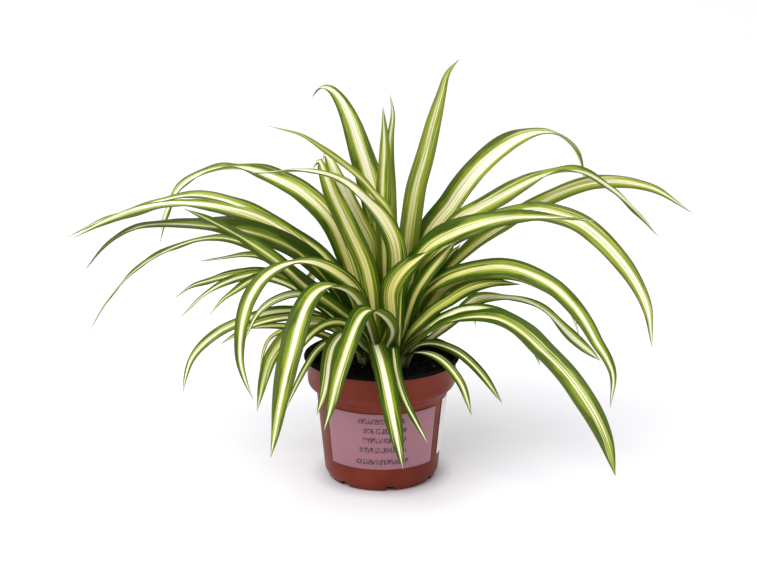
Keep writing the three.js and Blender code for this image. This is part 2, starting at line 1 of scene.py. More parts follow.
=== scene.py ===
"""Looks of a potted spider plant: its leaves, sheaths, peat, pot and labels, around the packed part."""

import math
import random
import bpy
import numpy as np
from bpy.props import FloatProperty, FloatVectorProperty, IntProperty, PointerProperty
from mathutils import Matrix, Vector, noise


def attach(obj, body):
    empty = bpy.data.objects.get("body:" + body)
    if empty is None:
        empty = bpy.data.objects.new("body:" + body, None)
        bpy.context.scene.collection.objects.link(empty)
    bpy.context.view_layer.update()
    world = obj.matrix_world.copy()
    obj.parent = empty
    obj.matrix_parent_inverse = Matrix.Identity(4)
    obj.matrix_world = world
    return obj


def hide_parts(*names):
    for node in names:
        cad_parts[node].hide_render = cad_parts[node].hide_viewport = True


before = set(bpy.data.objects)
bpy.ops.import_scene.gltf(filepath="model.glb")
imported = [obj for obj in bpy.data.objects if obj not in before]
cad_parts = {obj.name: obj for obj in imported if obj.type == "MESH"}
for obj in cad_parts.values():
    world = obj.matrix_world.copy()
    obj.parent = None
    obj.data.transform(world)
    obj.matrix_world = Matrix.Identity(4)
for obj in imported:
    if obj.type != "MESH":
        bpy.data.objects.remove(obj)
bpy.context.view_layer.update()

bl_info = {
    "name": "Potted spider plant",
    "version": (1, 0, 0),
    "blender": (4, 5, 0),
    "location": "3D View > Sidebar > Plant",
    "description": "Makes the leaves, sheaths, peat, pot and labels of a potted spider plant",
    "category": "Object",
}

MM = 0.001
BODY = "root"

# In all the skins below, a cloud is a noise's scale, detail and roughness, and a relief is a bump's
# strength and its depth in metres. A range is from and to, then the value at either end where that
# isn't 0 and 1.

# ---- camera, in metres and degrees ----
EYE = (-0.0024, -1.340, 0.541)
CAMERA_PITCH = 16.1
LENS = 86.93
SENSOR = 36.0
CAMERA_FAR = 20

# ---- lamps: name, size, place, colour; all look at one point in the leaves, in metres ----
LAMPS = (
    ("key", 1.6, (-0.75, -0.9, 1.65), (1.0, 0.985, 0.96)),
    ("fill", 1.2, (1.4, -0.7, 1.0), (0.97, 0.98, 1.0)),
)
LAMP_AIM = (0, 0, 0.12)

# ---- floor, in millimetres: flat, then bent up into a wall well behind the plant ----
FLOOR_FRONT = -3000
FLOOR_BEND = 1500
FLOOR_ROUND = 800
FLOOR_TOP = 4000
FLOOR_HALF = 6000
FLOOR_STEPS = 12
# The floor has a faint painted glow, weaker near the pot as painted shade round it, and none close round
# the pot's foot, which paints a shadow there. The ranges are in metres from the middle.
FLOOR_PAINTED_GLOW = (0.05, 0.5, 0.18, 0.34)
FOOT_PAINTED_SHADOW = (0.041, 0.06)
FLOOR_CLOUD = (3.0, 2.0)
FLOOR_PALER = 1.02
FLOOR_ROUGH = 0.6
FLOOR_SHINE = 0.2

# ---- pot, in millimetres and degrees ----
POT_SEGMENTS = 192
POT_SMOOTH_UNDER = 38
SEAT_Z = 5.2
# Outline of the outside from the middle of the foot up to the lip, as [radius, height].
POT_OUTSIDE = [
    [0, 0], [38, 0], [40.6, 0.1], [41.5, 0.9], [42.2, 3.0], [43.1, 4.6], [44.1, 5.9], [44.35, 7.5],
    [47.3, 37.5], [50.2, 67.2], [50.5, 68.4], [51.0, 69.2], [51.25, 70.3], [51.9, 71.4],
    [53.2, 72.4], [54.6, 73.4], [55.9, 74.7], [56.8, 76.1], [57.15, 77.6], [57.25, 80],
    [57.6, 94.2], [57.9, 94.7],
]
POT_LIP = [[57.9, 94.7], [59.2, 94.9], [59.85, 95.4], [60, 96.1], [59.8, 96.7], [59.3, 97], [57.3, 97]]
POT_INSIDE = [
    [57.3, 97], [56.4, 96.7], [56.2, 96], [55.8, 77.4], [55.3, 76], [54.2, 74.8], [50.2, 72],
    [49.4, 69.6], [42.8, 9], [40.6, SEAT_Z], [0, SEAT_Z],
]
NOTCHES = 7
NOTCH_FIRST = 9
NOTCH_HALF = 4.5
NOTCH_TALL = 4
NOTCH_TAPER = 0.7
NOTCH_INNER = 35
NOTCH_OUTER = 47
NOTCH_UNDER = -1
WALL_FOOT = 44.2
WALL_FOOT_Z = 6
WALL_TOP = 50.4
WALL_TOP_Z = 68.5

# ---- plastic: roughness and shine of the outside and of the black inside, then what both have ----
OUTSIDE_SKIN = (0.38, 0.12)
INSIDE_SKIN = (0.8, 0.02)
PLASTIC_IOR = 1.48
PLASTIC_DARKER = 0.72
PLASTIC_CLOUD = (38.0, 4.0)
PLASTIC_MOTTLE = (0.3, 0.72)
PLASTIC_SATIN = (0.25, 0.75)
PLASTIC_SCUFFS = (900.0, 2.0)
PLASTIC_SCUFF_SHARE = 0.3
PLASTIC_SMOOTHER = 0.05
PLASTIC_ROUGHER = 0.08
PLASTIC_RELIEF = (0.12, 0.0004)

# ---- soil, in millimetres ----
SOIL_TOP = 88
SOIL_RISE = 1.5
SOIL_SINK = 0.6
SOIL_RADIUS = 55.3
SOIL_MIDDLE = 34
SOIL_SKIRT_Z = 79
SOIL_RINGS = 44
SOIL_SPOKES = 180
# Lumps in the top: height, width, and which slice of the noise.
SOIL_LUMPS = ((1.6, 11, 0), (0.8, 3.2, 5))
CRUMB_SEED = 31
CRUMB_SIZES = (0.5, 1.7)
GRAIN_SIZES = (0.5, 1.0)
CRUMB_EDGE = 2
CRUMB_LIFT = 0.1
CRUMB_TOP = (0.6, 0.8)
CRUMB_OUT = (0.6, 1.1)
CRUMB_FOOT = 0.7
CRUMB_SIDES = 5
# The two rings of corners round a crumb: height, and turn as a share of one side.
CRUMB_RINGS = ((0.3, 0.0), (-0.3, 0.5))

# ---- peat and grain skin ----
PEAT_CLOUD = (420.0, 5.0, 0.65)
PEAT_LUMPS = (0.42, 0.72)
PEAT_PALER = 3.6
PEAT_ROUGH = 0.9
PEAT_SHINE = 0.03
PEAT_RELIEF = (0.8, 0.0012)
GRAIN_CLOUD = (1500.0, 3.0)
GRAIN_PITS = (0.3, 0.7)
GRAIN_PALE = (0.55, 0.53, 0.50)
GRAIN_DULL = (0.32, 0.29, 0.26)
GRAIN_ROUGH = 0.85
GRAIN_RELIEF = (0.4, 0.0004)

# ---- labels, in degrees round from the front and millimetres up ----
LABEL_GAP = 0.3
LABEL_THICK = 0.4
LABEL_RIM = 0.2
LABEL_RIM_THINNER = 0.12
LABEL_STEP = 2
FRONT_LABEL = {"from": -54, "to": 54, "low": 19.5, "high": 65.4}
SIDE_LABEL = {"from": 66, "to": 120, "low": 22, "high": 67.5}
# Rows of plain marks on the front label: height, and where they start and end across.
INK_ROWS = ((59.5, -18.5, 19), (51.6, -15, 19), (43.9, -15.5, 19), (35.8, -17.5, 19), (25.8, -20, 21))
INK_TALL = 4.2
INK_ROW_SOFT = (0.4, -0.3)
INK_END_SOFT = 0.5
INK_SLANT = 0.25
INK_STRETCH = 0.3
INK_SLICE = 4.0
INK_CLOUD = (1.05, 1.0)
INK_STROKE = (0.465, 0.505)
INK_SHARE = 0.9
PAPER_CLOUD = (0.9, 4.0)
PAPER_FIBRE = (0.3, 0.7)
PAPER_FADED = 0.9
PAPER_ROUGH = 0.42
PAPER_RELIEF = (0.1, 0.0002)

# ---- crowns: where each tuft leaves the soil, in millimetres ----
CROWN_RADIUS = 9
CROWNS = {
    "left": (-13, 3),
    "front": (-2, -13),
    "right": (14, -3),
    "back": (-3, 20),
    "rear_right": (16, 17),
}

# ---- sheaths round a crown, in millimetres and degrees ----
# A pair is the outermost sheath's value and the change to the innermost.
SHEATH_SEED = 7
SHEATH_TURN = 137.5
SHEATH_TURN_SPREAD = 12
SHEATH_TALL = (12, 14)
SHEATH_TALL_SPREAD = 2
SHEATH_OUT = (6.6, -4.2)
SHEATH_LEAN = (0.42, -0.3)
SHEATH_WIDTH = (10.5, -3.5)
SHEATH_POINT_POWER = 2.4
SHEATH_TIP = 0.5
SHEATH_DEPTH = 3
SHEATH_BELLY = 0.8
SHEATH_FOLD = (52, -14)
SHEATH_THICK = 0.6
SHEATH_WAVE = 0.3
SHEATH_STEPS = 12
SHEATH_COLUMNS = 8
SHEATH_FIRST_SEED = 40.0

# ---- sheath skin: along is in millimetres from the foot ----
SHEATH_VEIN_RATE = 0.03
SHEATH_CLOUD = (2.2, 3.0, 0.6)
SHEATH_VEIN = (0.45, 0.65)
# The sheath greens are dark, partly as painted shade deep in the tuft.
SHEATH_VEIN_GREEN = (0.12, 0.19, 0.03)
SHEATH_TOP_FROM = (6.0, 20.0)
SHEATH_TOP_GREEN = (0.09, 0.15, 0.02)
SHEATH_FOOT_FROM = (9.0, 2.0)
SHEATH_FOOT_BROWN = (0.05, 0.035, 0.02)
SHEATH_ROUGH = (0.3, 0.7, 0.42, 0.6)
SHEATH_RELIEF = (0.3, 0.0002)

# ---- blades, in millimetres and degrees ----
# Width: a narrow base, the full width by the widest place, then a point.
BASE_SHARE = 0.36
BROAD_FROM = 0.67
POINT_POWER = 2.4
TIP_WIDTH = 0.35
# Where a blade leaves its crown: a steep one higher up and nearer to the axis.
ROOT_LOW = 2
ROOT_RISE = 9
ROOT_OUT = 0.5
# How far each half is folded up from flat: at the root, how it falls over the length, and at rest.
FOLD_ROOT = 42
FOLD_FALL = 50
FOLD_REST = 24.5
FOLD_REST_FROM = 0.35
# How closely a route is followed, and how many columns and rows the blade has.
CURVE_SAMPLES = 480
LEAST_SPAN = 1e-4
BLADE_COLUMNS = 12
STATION = 3.5
LEAST_STATIONS = 24
# The stub runs from the foot down into the soil in one bend.
STUB_SAMPLES = 24
STUB_DEPTH = 3
STUB_OUT = 3
STUB_BEND = 0.5
# Across a blade: how round the crease is, where the margin curls down and how far, and its thin edge.
CREASE = 0.03
CURL = 0.55
CURL_FROM = 0.55
EDGE_THIN = 0.6
MOST_THICK = 1.2
# Waves of the margins, and the slight twist to and fro of a whole blade.
WAVE_LENGTH = 26
WAVE_HALF = 3
WAVE_GAIN = 2
WAVE_OTHER_SIDE = 7
TWIST = 5
TWIST_RATE = 4
TWIST_SLICE = 3
TWIST_GROWTH = 4
SEED_STEP = 1.37

# ---- leaf skin ----
# The ranges count half widths out from the stripe's edge, millimetres along from the foot, or the
# level of a cloud. A rate is how fast a cloud runs along the leaf.
SEED_SPREAD = 3.7
DRIFT_RATE = 0.012
DRIFT_CLOUD = (1.0, 2.0)
DRIFT = (0.2, 0.8, -0.06, 0.06)
SWING_RATE = 0.009
SWING_CLOUD = (1.0, 1.0)
SWING = (0.25, 0.75, -0.16, 0.16)
STREAK_RATE = 0.006
STREAK_CLOUD = (0.95, 3.0, 0.65)
VEIN_CLOUD = (4.2, 2.0, 0.6)
PATCH_RATE = 0.03
PATCH_CLOUD = (1.1, 3.0)
PATCH_SHIFT = (0.3, 0.7, -0.22, 0.22)
YOUNG_FROM = (190.0, 60.0)
LIME_FROM = (0.0, 0.05)
GREEN_FROM = (0.07, 0.2)
MARGIN_FROM = (0.14, 0.46)
OUTSIDE_STRIPE = (0.0, 0.1)
# Painted light and sheen: where along the leaf, and how deep in the green, it is painted paler towards its
# point, and the pale green used.
PAINTED_LIGHT_FROM = (60.0, 210.0)
PAINTED_LIGHT_SHARE = (0.12, 0.5, 0.19, 0.08)
PAINTED_LIGHT_GREEN = (0.62, 0.66, 0.15)
# Painted shade low in the tuft: how far along from the foot, how much, and the dark green painted there.
PAINTED_SHADE_FROM = (130.0, 40.0)
PAINTED_SHADE_SHARE = 0.55
PAINTED_SHADE_GREEN = (0.024, 0.054, 0.001)
OUTER_LINES_FROM = (0.05, 0.09)
OUTER_LINES_TO = (0.6, 0.35)
OUTER_LINES_BY_STRIPE = (0.04, 0.16, 0.1, 1.0)
INNER_LINES_FROM = (-0.42, -0.1)
INNER_LINES_TO = (0.06, 0.0)
# Fine lines: the streaks that carry them, and how strong they are.
PALE_LINE = ((0.53, 0.58), 0.75)
CREAM_LINE = ((0.62, 0.66), 0.7)
LIME_LINE = ((0.48, 0.43), 0.85)
GREEN_LINE = ((0.40, 0.35), 0.8)
VEIN_SHADE = (0.3, 0.7, 0.84, 1.12)
UNDER_SHARE = 0.18
UNDER_GREEN = (0.26, 0.31, 0.06)
FOOT_FROM = (26.0, 4.0)
FOOT_SHARE = 0.45
FOOT_GREEN = (0.36, 0.42, 0.08)
LEAF_ROUGH = (0.2, 0.8, 0.34, 0.46)
UNDER_ROUGHER = 0.14
LEAF_IOR = 1.45
LEAF_SHINE = (40.0, 220.0, 0.05, 0.2)
STREAK_RELIEF = 0.5
LEAF_RELIEF = (0.35, 0.0002)

# The routes are sighted: across and up are read on the upright plane through the pot's axis, as
# seen from the camera, and back is how far behind that plane the point really lies.
# name: crown, width, share of the length at which it is widest, rolls at even steps from the root to
# the tip, route [across, up, back].
BLADES = {
    "leaf_high_left": ["back", 20, 0.38, [38, 45, 50, 35, -5, 40, 80], [
        [-18, 140, 30], [-28, 176, 38], [-40, 204, 44], [-60, 224.5, 54], [-80, 235, 64],
        [-105, 242.5, 74], [-130, 240, 82], [-150, 229, 88], [-162, 209, 91], [-168, 186, 92]]],
    "leaf_long_left": ["left", 11, 0.38, [30, 45, 50, 40, 10, 20, 50], [
        [-24, 141, 17.5], [-44, 176, 22], [-70, 194.5, 22], [-100, 212, 29], [-138, 222, 38],
        [-165, 218, 43], [-195, 209, 48], [-220, 199, 52], [-238, 190, 54]]],
    "leaf_under_left": ["left", 14, 0.42, [25, 45, 55, 45, 15, 50, 60], [
        [-27.5, 130, 5.5], [-46, 164, 6], [-68, 187, 6], [-90, 201.5, 9], [-112, 209.5, 12],
        [-135, 214, 15], [-162, 214.5, 19], [-187, 209, 22], [-213, 200, 25], [-234, 189, 27]]],
    "leaf_level_left": ["left", 18, 0.42, [25, 50, 60, 60, 20, 0, 10], [
        [-25, 128, -1], [-44, 159, -5], [-65, 180, -9], [-85, 190, -13], [-105, 195.5, -16],
        [-130, 198, -17], [-155, 199.5, -18], [-180, 198, -19], [-200, 189.5, -20], [-214, 178, -21],
        [-225, 165, -22]]],
    "leaf_straight_left": ["front", 15, 0.4, [20, 60, 62, 50, 48], [
        [-16, 116, -12.5], [-36, 134, -20.5], [-57, 150, -32], [-80, 170.5, -38], [-100, 185, -41],
        [-120, 197.5, -44], [-138, 207, -46], [-149, 212, -47]]],
    "leaf_silver_left": ["back", 8, 0.45, [20, 30, 35, 35, 40], [
        [-20, 122, 30], [-40, 140, 38], [-60, 156.5, 46], [-80, 171, 54], [-100, 182.5, 61],
        [-120, 188.5, 68], [-140, 187, 74], [-160, 180, 79], [-180, 169, 83], [-200, 151.5, 87],
        [-216, 130, 89], [-224, 116, 90]]],
    "leaf_short_left": ["back", 9, 0.5, [10, 30, 40, 40, 40], [
        [-20, 119, 22], [-40, 138, 28], [-60, 156, 33], [-78, 169, 37], [-92, 174.7, 40],
        [-105, 175.7, 43], [-120, 173.5, 46], [-138, 171, 49]]],
    "leaf_fan_rear": ["left", 9, 0.5, [20, 45, 50, 50, 50], [
        [-25, 120, 10], [-40, 135, 15], [-58, 150, 21], [-78, 159.5, 27], [-95, 162.5, 32],
        [-112, 160.5, 37], [-130, 156, 42], [-145, 151, 46], [-158, 142, 49]]],
    "leaf_fan_middle": ["left", 8.5, 0.5, [20, 45, 50, 50, 50], [
        [-27, 115.5, -1.5], [-41, 132.5, 3], [-58, 147.5, 8], [-76, 157, 11], [-92, 160.5, 14],
        [-106, 158.5, 17], [-122, 152.5, 20], [-136, 143.5, 23], [-154, 127, 27]]],
    "leaf_fan_front": ["left", 8.5, 0.5, [20, 45, 50, 50, 50], [
        [-27, 115, -8.5], [-42, 131, -8], [-58, 144.5, -8], [-76, 154.5, -9], [-90, 158.5, -10],
        [-100, 155.5, -11], [-112, 147.5, -12], [-122, 140, -13], [-132, 128, -14]]],
    "leaf_arch_left": ["front", 13.5, 0.5, [30, 70, 75, -5, 45, 55, 60], [
        [-12.5, 133, -15], [-21, 149, -17.5], [-30, 158, -25], [-45, 166.5, -35], [-60, 169.5, -46],
        [-75, 166.5, -54], [-90, 157, -62], [-100, 144, -68], [-106, 128, -73], [-109, 110, -77],
        [-109.5, 92, -80], [-106, 76, -82], [-100, 60, -83]]],
    "leaf_broad_front": ["front", 19.5, 0.55, [0, 0, 10, 25, 30], [
        [-11.5, 122, -24.5], [-18, 138, -32], [-28, 147.5, -41], [-40, 150.5, -53], [-50, 146, -63],
        [-58, 135, -74], [-64, 119, -85], [-69, 100, -95], [-74, 80, -103], [-79, 55, -110],
        [-83, 32, -115], [-87, 11, -118]]],
    "leaf_middle_front": ["front", 15.5, 0.55, [0, 0, 10, 20, 25], [
        [8, 114.5, -30], [2, 125.5, -38.5], [-8, 131.5, -47], [-15, 128, -58], [-20, 119, -68],
        [-25, 105, -75], [-29, 93, -82], [-34, 77, -88], [-40, 52, -93], [-45, 33.5, -95]]],
    "leaf_rim_front": ["front", 12.5, 0.55, [0, 0, 10, 25, 30], [
        [-15.5, 103, -24.5], [-22, 111, -35.5], [-30, 112, -46], [-37.5, 103, -54], [-41, 90, -60],
        [-42.5, 78, -66], [-44.5, 66, -70], [-50.5, 46.5, -75]]],
    "leaf_label_front": ["front", 16.5, 0.5, [0, 0, 5, 10, 10], [
        [-1.5, 97, -28], [-4.5, 103.5, -38], [-4, 101, -48], [-1, 92, -58], [3, 75, -68], [7, 54, -77],
        [11, 33, -84], [14.5, 14, -89], [17, 1, -91]]],
    "leaf_label_right": ["front", 8.5, 0.5, [0, 5, 10, 15, 20], [
        [11, 99, -20], [9.5, 101, -36], [10, 94, -50], [11, 84, -60], [14, 70, -68], [19, 56, -74],
        [26, 42, -79], [36, 23, -84]]],
    "leaf_rim_left": ["left", 5.5, 0.55, [15, 40, 50, 50, 55], [
        [-18, 96.5, -19], [-30, 106, -23], [-42, 106, -29], [-50, 99.5, -34], [-57, 89, -38],
        [-64, 76, -41], [-70, 63, -43], [-75, 50, -44]]],
    "leaf_hanging_left": ["left", 12.5, 0.55, [15, 45, 55, 52, 52], [
        [-22, 102.5, -15], [-34, 114, -16.5], [-47, 121, -21], [-60, 120, -31], [-71, 112.5, -40],
        [-79, 104, -46], [-86, 93, -51], [-91, 78, -56], [-97, 50, -60]]],
    "leaf_tucked_left": ["left", 9, 0.5, [15, 40, 60, 55, 45], [
        [-17, 111, -25.5], [-27.5, 120.5, -30], [-37, 122, -38], [-47, 118.5, -45], [-56, 111, -51],
        [-68, 93, -58]]],
    "leaf_bow_left": ["left", 7.5, 0.5, [20, 45, 60, 65, 65], [
        [-24, 118, -14], [-40, 136, -17.5], [-55, 144, -20], [-67, 145, -23], [-78, 142, -25],
        [-88, 136.5, -29], [-96, 128, -33], [-106, 107, -38]]],
    "leaf_low_left": ["left", 9, 0.6, [20, 50, 60, 70, 75], [
        [-27, 108.5, 7], [-42, 124, 7], [-57, 130, 6], [-72, 131.2, 7], [-88, 129.5, 7], [-100, 126, 7],
        [-113, 121, 7], [-122, 116.5, 6], [-132, 109.5, 5], [-141, 101, 4], [-147, 92.5, 3],
        [-151, 81, 2], [-154, 66, 1]]],
    "leaf_slim_left": ["left", 7.5, 0.55, [20, 50, 65, 65, 65], [
        [-27, 107.5, -7], [-42, 121, -7], [-57, 126, -7], [-72, 127, -8], [-88, 124.3, -9],
        [-100, 120, -10], [-124, 105, -11]]],
    "leaf_rim_right": ["right", 7.5, 0.6, [10, 35, 45, 48, 48], [
        [24, 97, -14], [33, 97.5, -20], [42, 94.5, -27], [50, 88.5, -36], [57, 80, -43], [63, 70, -48],
        [70, 47, -52]]],
    "leaf_low_right": ["right", 8, 0.6, [15, 40, 55, 62, 65], [
        [30, 103.8, -8], [40, 104.8, -10], [50, 102.3, -13], [60, 97.5, -17], [70, 89, -21],
        [80, 77.5, -25], [93.5, 57, -31]]],
    "leaf_broad_right": ["right", 17.5, 0.72, [15, 20, 30, 52, 57], [
        [18, 99, -17], [28, 107, -20], [40, 116, -23], [52, 122, -29], [64, 125.8, -36], [77, 127, -43],
        [90, 125.3, -51], [101, 120, -59], [112, 111.5, -67], [124, 100, -76], [136, 88, -84],
        [147, 75, -91], [157, 60.5, -98], [167, 44, -104], [176, 24, -109], [184, -4, -112]]],
    "leaf_hidden_right": ["right", 9, 0.55, [15, 40, 50, 55, 60], [
        [21, 106, -7], [30, 114.5, -9], [40, 121.3, -11], [50, 127.3, -12], [60, 131.8, -13],
        [72, 133.5, -15], [85, 131.5, -17], [98, 126, -19], [109, 117, -21], [122.5, 88, -24]]],
    "leaf_high_arch_right": ["right", 15, 0.5, [30, 60, 65, 65, 65], [
        [25, 117, 0.5], [32, 142, 4], [41, 151.5, 7], [50, 157.3, 9], [62, 161.8, 8], [75, 165, 5],
        [90, 166.5, 0], [103, 164.5, -3], [118, 158.5, -10], [132, 150, -18], [146, 136.5, -26],
        [157, 121.5, -33], [166, 106, -38], [174, 93, -42], [179, 79, -44], [178, 53, -45]]],
    "leaf_behind_right": ["rear_right", 14, 0.35, [20, 50, 60, 55, 50], [
        [36, 131, 12.5], [50, 150.5, 19], [70, 160, 20], [92, 162, 17], [106, 159.5, 14],
        [120, 153.5, 8], [132, 146, 3], [143, 136, -2], [152.5, 110, -8]]],
    "leaf_slim_right": ["right", 12, 0.8, [30, 55, 60, 10, 20, 60, 88], [
        [26, 101, 4], [36, 108, 8], [47, 117, 12], [57, 126, 16], [65, 135, 20], [74, 141, 23],
        [95, 141.5, 28], [108, 139.5, 30], [120, 134.2, 31], [130, 126.5, 32], [147, 110, 33],
        [169, 91.5, 33]]],
    "leaf_short_right": ["right", 11, 0.5, [20, 45, 55, 50, 50], [
        [21.5, 112, -9], [31, 123, -9], [40, 131.5, -7], [51, 139, -5], [60, 145.3, 0], [70, 150.3, 2],
        [85, 153.5, 4], [106, 152.7, 6]]],
    "leaf_level_right": ["right", 19, 0.5, [20, 30, 40, 60, 30, 20, 20], [
        [17, 125, 10.5], [22, 148, 14], [26, 169, 13], [35, 182, 11], [47, 190.5, 8], [60, 196.5, 3],
        [78, 202, -2], [97, 205, -6], [115, 205.3, -10], [132, 204.3, -14], [161, 202.5, -19]]],
    "leaf_far_right": ["rear_right", 17, 0.62, [30, 45, 55, 70, 72], [
        [24, 131, 17.5], [31, 160, 22], [43, 177, 24], [60, 191, 24], [80, 200, 22], [100, 206.5, 18],
        [118, 209.5, 12], [135, 206.5, 5], [150, 200.5, -1], [165, 189, -7], [178, 175.5, -12],
        [190, 160, -16], [199, 144, -19], [204, 130, -21], [208.5, 102, -23]]],
    "leaf_wavy_right": ["rear_right", 20, 0.45, [35, 55, 60, 58, 45, 0, 80], [
        [17.5, 138, 40], [26, 168, 51], [36, 196, 60], [50, 214.5, 66], [60, 229.5, 69], [72, 244, 74],
        [85, 256, 79], [100, 265.5, 84], [115, 270, 88], [130, 269, 92], [141, 261, 95],
        [148, 249.5, 97], [152.5, 234, 98]]],
    "leaf_high_right": ["rear_right", 17, 0.38, [30, 45, 50, 40, 0, 40, 50], [
        [31.5, 135, 26.5], [37, 168, 39], [48, 189, 44], [60, 203, 45], [75, 212, 50], [90, 220.5, 54],
        [105, 229, 57], [120, 236.5, 60], [137, 240.5, 62], [152, 239, 64], [170, 228.5, 66],
        [188, 213.5, 68], [209, 191, 70]]],
    "leaf_long_right": ["rear_right", 14, 0.55, [20, 20, 45, 60, 60], [
        [28, 128, 36], [41, 151, 43], [55, 169, 49], [70, 183, 57], [85, 194.5, 65], [100, 205, 72],
        [112, 212.5, 77], [125, 219.5, 81], [140, 226.5, 85], [155, 231, 88], [172, 232.8, 91],
        [190, 231, 94], [207, 226, 96], [234, 209, 99]]],
    "leaf_tall": ["rear_right", 18, 0.45, [40, 50, 55, 55, 55], [
        [14.3, 140, 34], [19, 176, 39], [22, 203, 41], [26, 230, 43], [32, 252, 45], [38.5, 279, 46],
        [44, 300, 49], [48.5, 315, 51], [57, 325.5, 53]]],
    "leaf_upright_rear": ["back", 11, 0.5, [30, 40, 45, 50, 50], [
        [7.5, 140, 27], [8, 170, 29.5], [7, 200, 31], [6, 225, 31], [5, 248, 32], [6.3, 268, 33],
        [8.3, 284, 33], [6.3, 299, 33]]],
    "leaf_upright": ["back", 14, 0.5, [30, 38, 45, 50, 50], [
        [3, 135, 17], [3, 160, 17], [2, 185, 19], [1, 210, 22], [1.2, 235, 23], [2.2, 260, 24],
        [0.8, 290, 24]]],
    "leaf_top_left": ["back", 24, 0.42, [40, 48, 50, 50, 35], [
        [2.5, 140, 38.5], [3, 172, 45.5], [-1, 200, 51], [-7, 228, 55], [-14, 252, 58], [-23, 279, 61],
        [-31, 295, 65], [-38, 302.5, 68], [-45, 304, 71], [-51.5, 297.5, 73]]],
    "leaf_diagonal": ["rear_right", 8, 0.35, [30, 45, 55, 60, 60], [
        [10, 140, 20], [12.5, 166, 24], [11, 190, 22], [5, 210.5, 14.5], [-5, 223, 14],
        [-17, 236.5, 11], [-30, 248, 8], [-45, 259, 5], [-60, 268.5, 1], [-84, 275.5, -2]]],
    "leaf_crossing": ["front", 21, 0.42, [30, 60, 65, 35, 5, 0, 0], [
        [4, 120, 3], [7.5, 145, 6.5], [10, 166, 7.5], [8, 184, 6.5], [1, 199, 4], [-9, 212.5, 1],
        [-18, 222, -2.5], [-27, 229.5, -3], [-40, 236.5, -5], [-52, 240, -7], [-65, 241, -9],
        [-78, 240, -11], [-98, 239.5, -14]]],
    "leaf_cream": ["back", 18, 0.65, [45, 52, 55, 55, 55], [
        [-9, 140, 22.5], [-8.5, 165, 25], [-10, 185, 29], [-18, 202, 34], [-27, 219.5, 37],
        [-34, 236, 40], [-39, 249, 43], [-42, 254, 46], [-44, 250, 49]]],
    "leaf_inner_left": ["front", 17, 0.6, [40, 50, 50, 50, 48], [
        [-5, 122, 0], [-7.5, 147, 7], [-12, 168, 12], [-20, 187, 16], [-29, 206, 19], [-37, 223, 22],
        [-43, 239, 24], [-47, 249, 26], [-51.5, 243, 30]]],
    "leaf_centre": ["front", 22, 0.5, [40, 55, 65, 65, 60], [
        [10.5, 118, -8.5], [9.5, 132, -10], [9, 148, -10], [17, 163, -9], [26, 171.5, -8.5],
        [35, 178.5, -8]]],
    "leaf_inner_right": ["right", 13, 0.55, [35, 55, 60, 60, 60], [
        [18.5, 120, -2], [23, 138, -1], [28, 150, 2], [35, 161, 6], [43, 171, 8], [57, 187, 12]]],
    "leaf_shaded_right": ["right", 12, 0.55, [35, 55, 60, 60, 60], [
        [23, 120, 7.5], [28.5, 140, 11], [33, 151, 12.5], [39, 160, 13.5], [46, 169, 15],
        [60, 184.5, 18]]],
}

# Slight blades that are one body with the crown they grow from.
YOUNG_BLADES = {
    "young_front": ["right", 9, 0.5, [30, 45, 50], [
        [13.8, 106, -19.8], [14.5, 130, -28.5], [15, 145, -26], [16.5, 155, -25]]],
    "young_low": ["left", 6.5, 0.55, [20, 50, 65], [
        [-28, 104.5, 1], [-45, 112.5, 0.5], [-60, 117.3, 0], [-75, 119.2, 0], [-90, 119, 0],
        [-103, 117.3, 0]]],
    "young_curl": ["left", 5, 0.55, [20, 50, 60], [
        [-29, 101, 8], [-48, 111.5, 9], [-65, 116, 9.5], [-78, 114.5, 10], [-86, 109, 11],
        [-90, 101, 11.5], [-92.5, 92, 12], [-94, 84, 12]]],
}

# The blades at the back, the same but for plain routes [x, y, z].
REAR_BLADES = {
    "leaf_rear_right": ["rear_right", 13, 0.5, [0, 0, 0], [
        [33, 25, 106], [48, 48, 126], [61, 76, 134], [70, 100, 126], [76, 116, 102], [79, 124, 80]]],
    "leaf_rear_middle": ["back", 15, 0.5, [0, 0, 0], [
        [-0.8, 44, 117.5], [-5, 70, 148], [-6, 98, 160], [-8, 126, 146], [-9, 146, 118],
        [-10, 158, 84]]],
    "leaf_rear_left": ["back", 13, 0.5, [0, 0, 0], [
        [-17.6, 40.6, 121.6], [-29, 62, 135], [-44, 86, 138], [-57, 106, 126], [-65, 121, 102],
        [-69, 130, 78]]],
    "leaf_rear_low": ["rear_right", 12, 0.5, [0, 0, 0], [
        [15, 45, 112], [19, 72, 130], [23, 97, 127], [25, 114, 104], [26, 122, 76], [26, 126, 48]]],
    "leaf_rear_hanging": ["back", 11, 0.5, [0, 0, 0], [
        [-12, 38, 108], [-18, 60, 122], [-22, 82, 118], [-24, 98, 98], [-25, 105, 74], [-26, 108, 50]]],
}
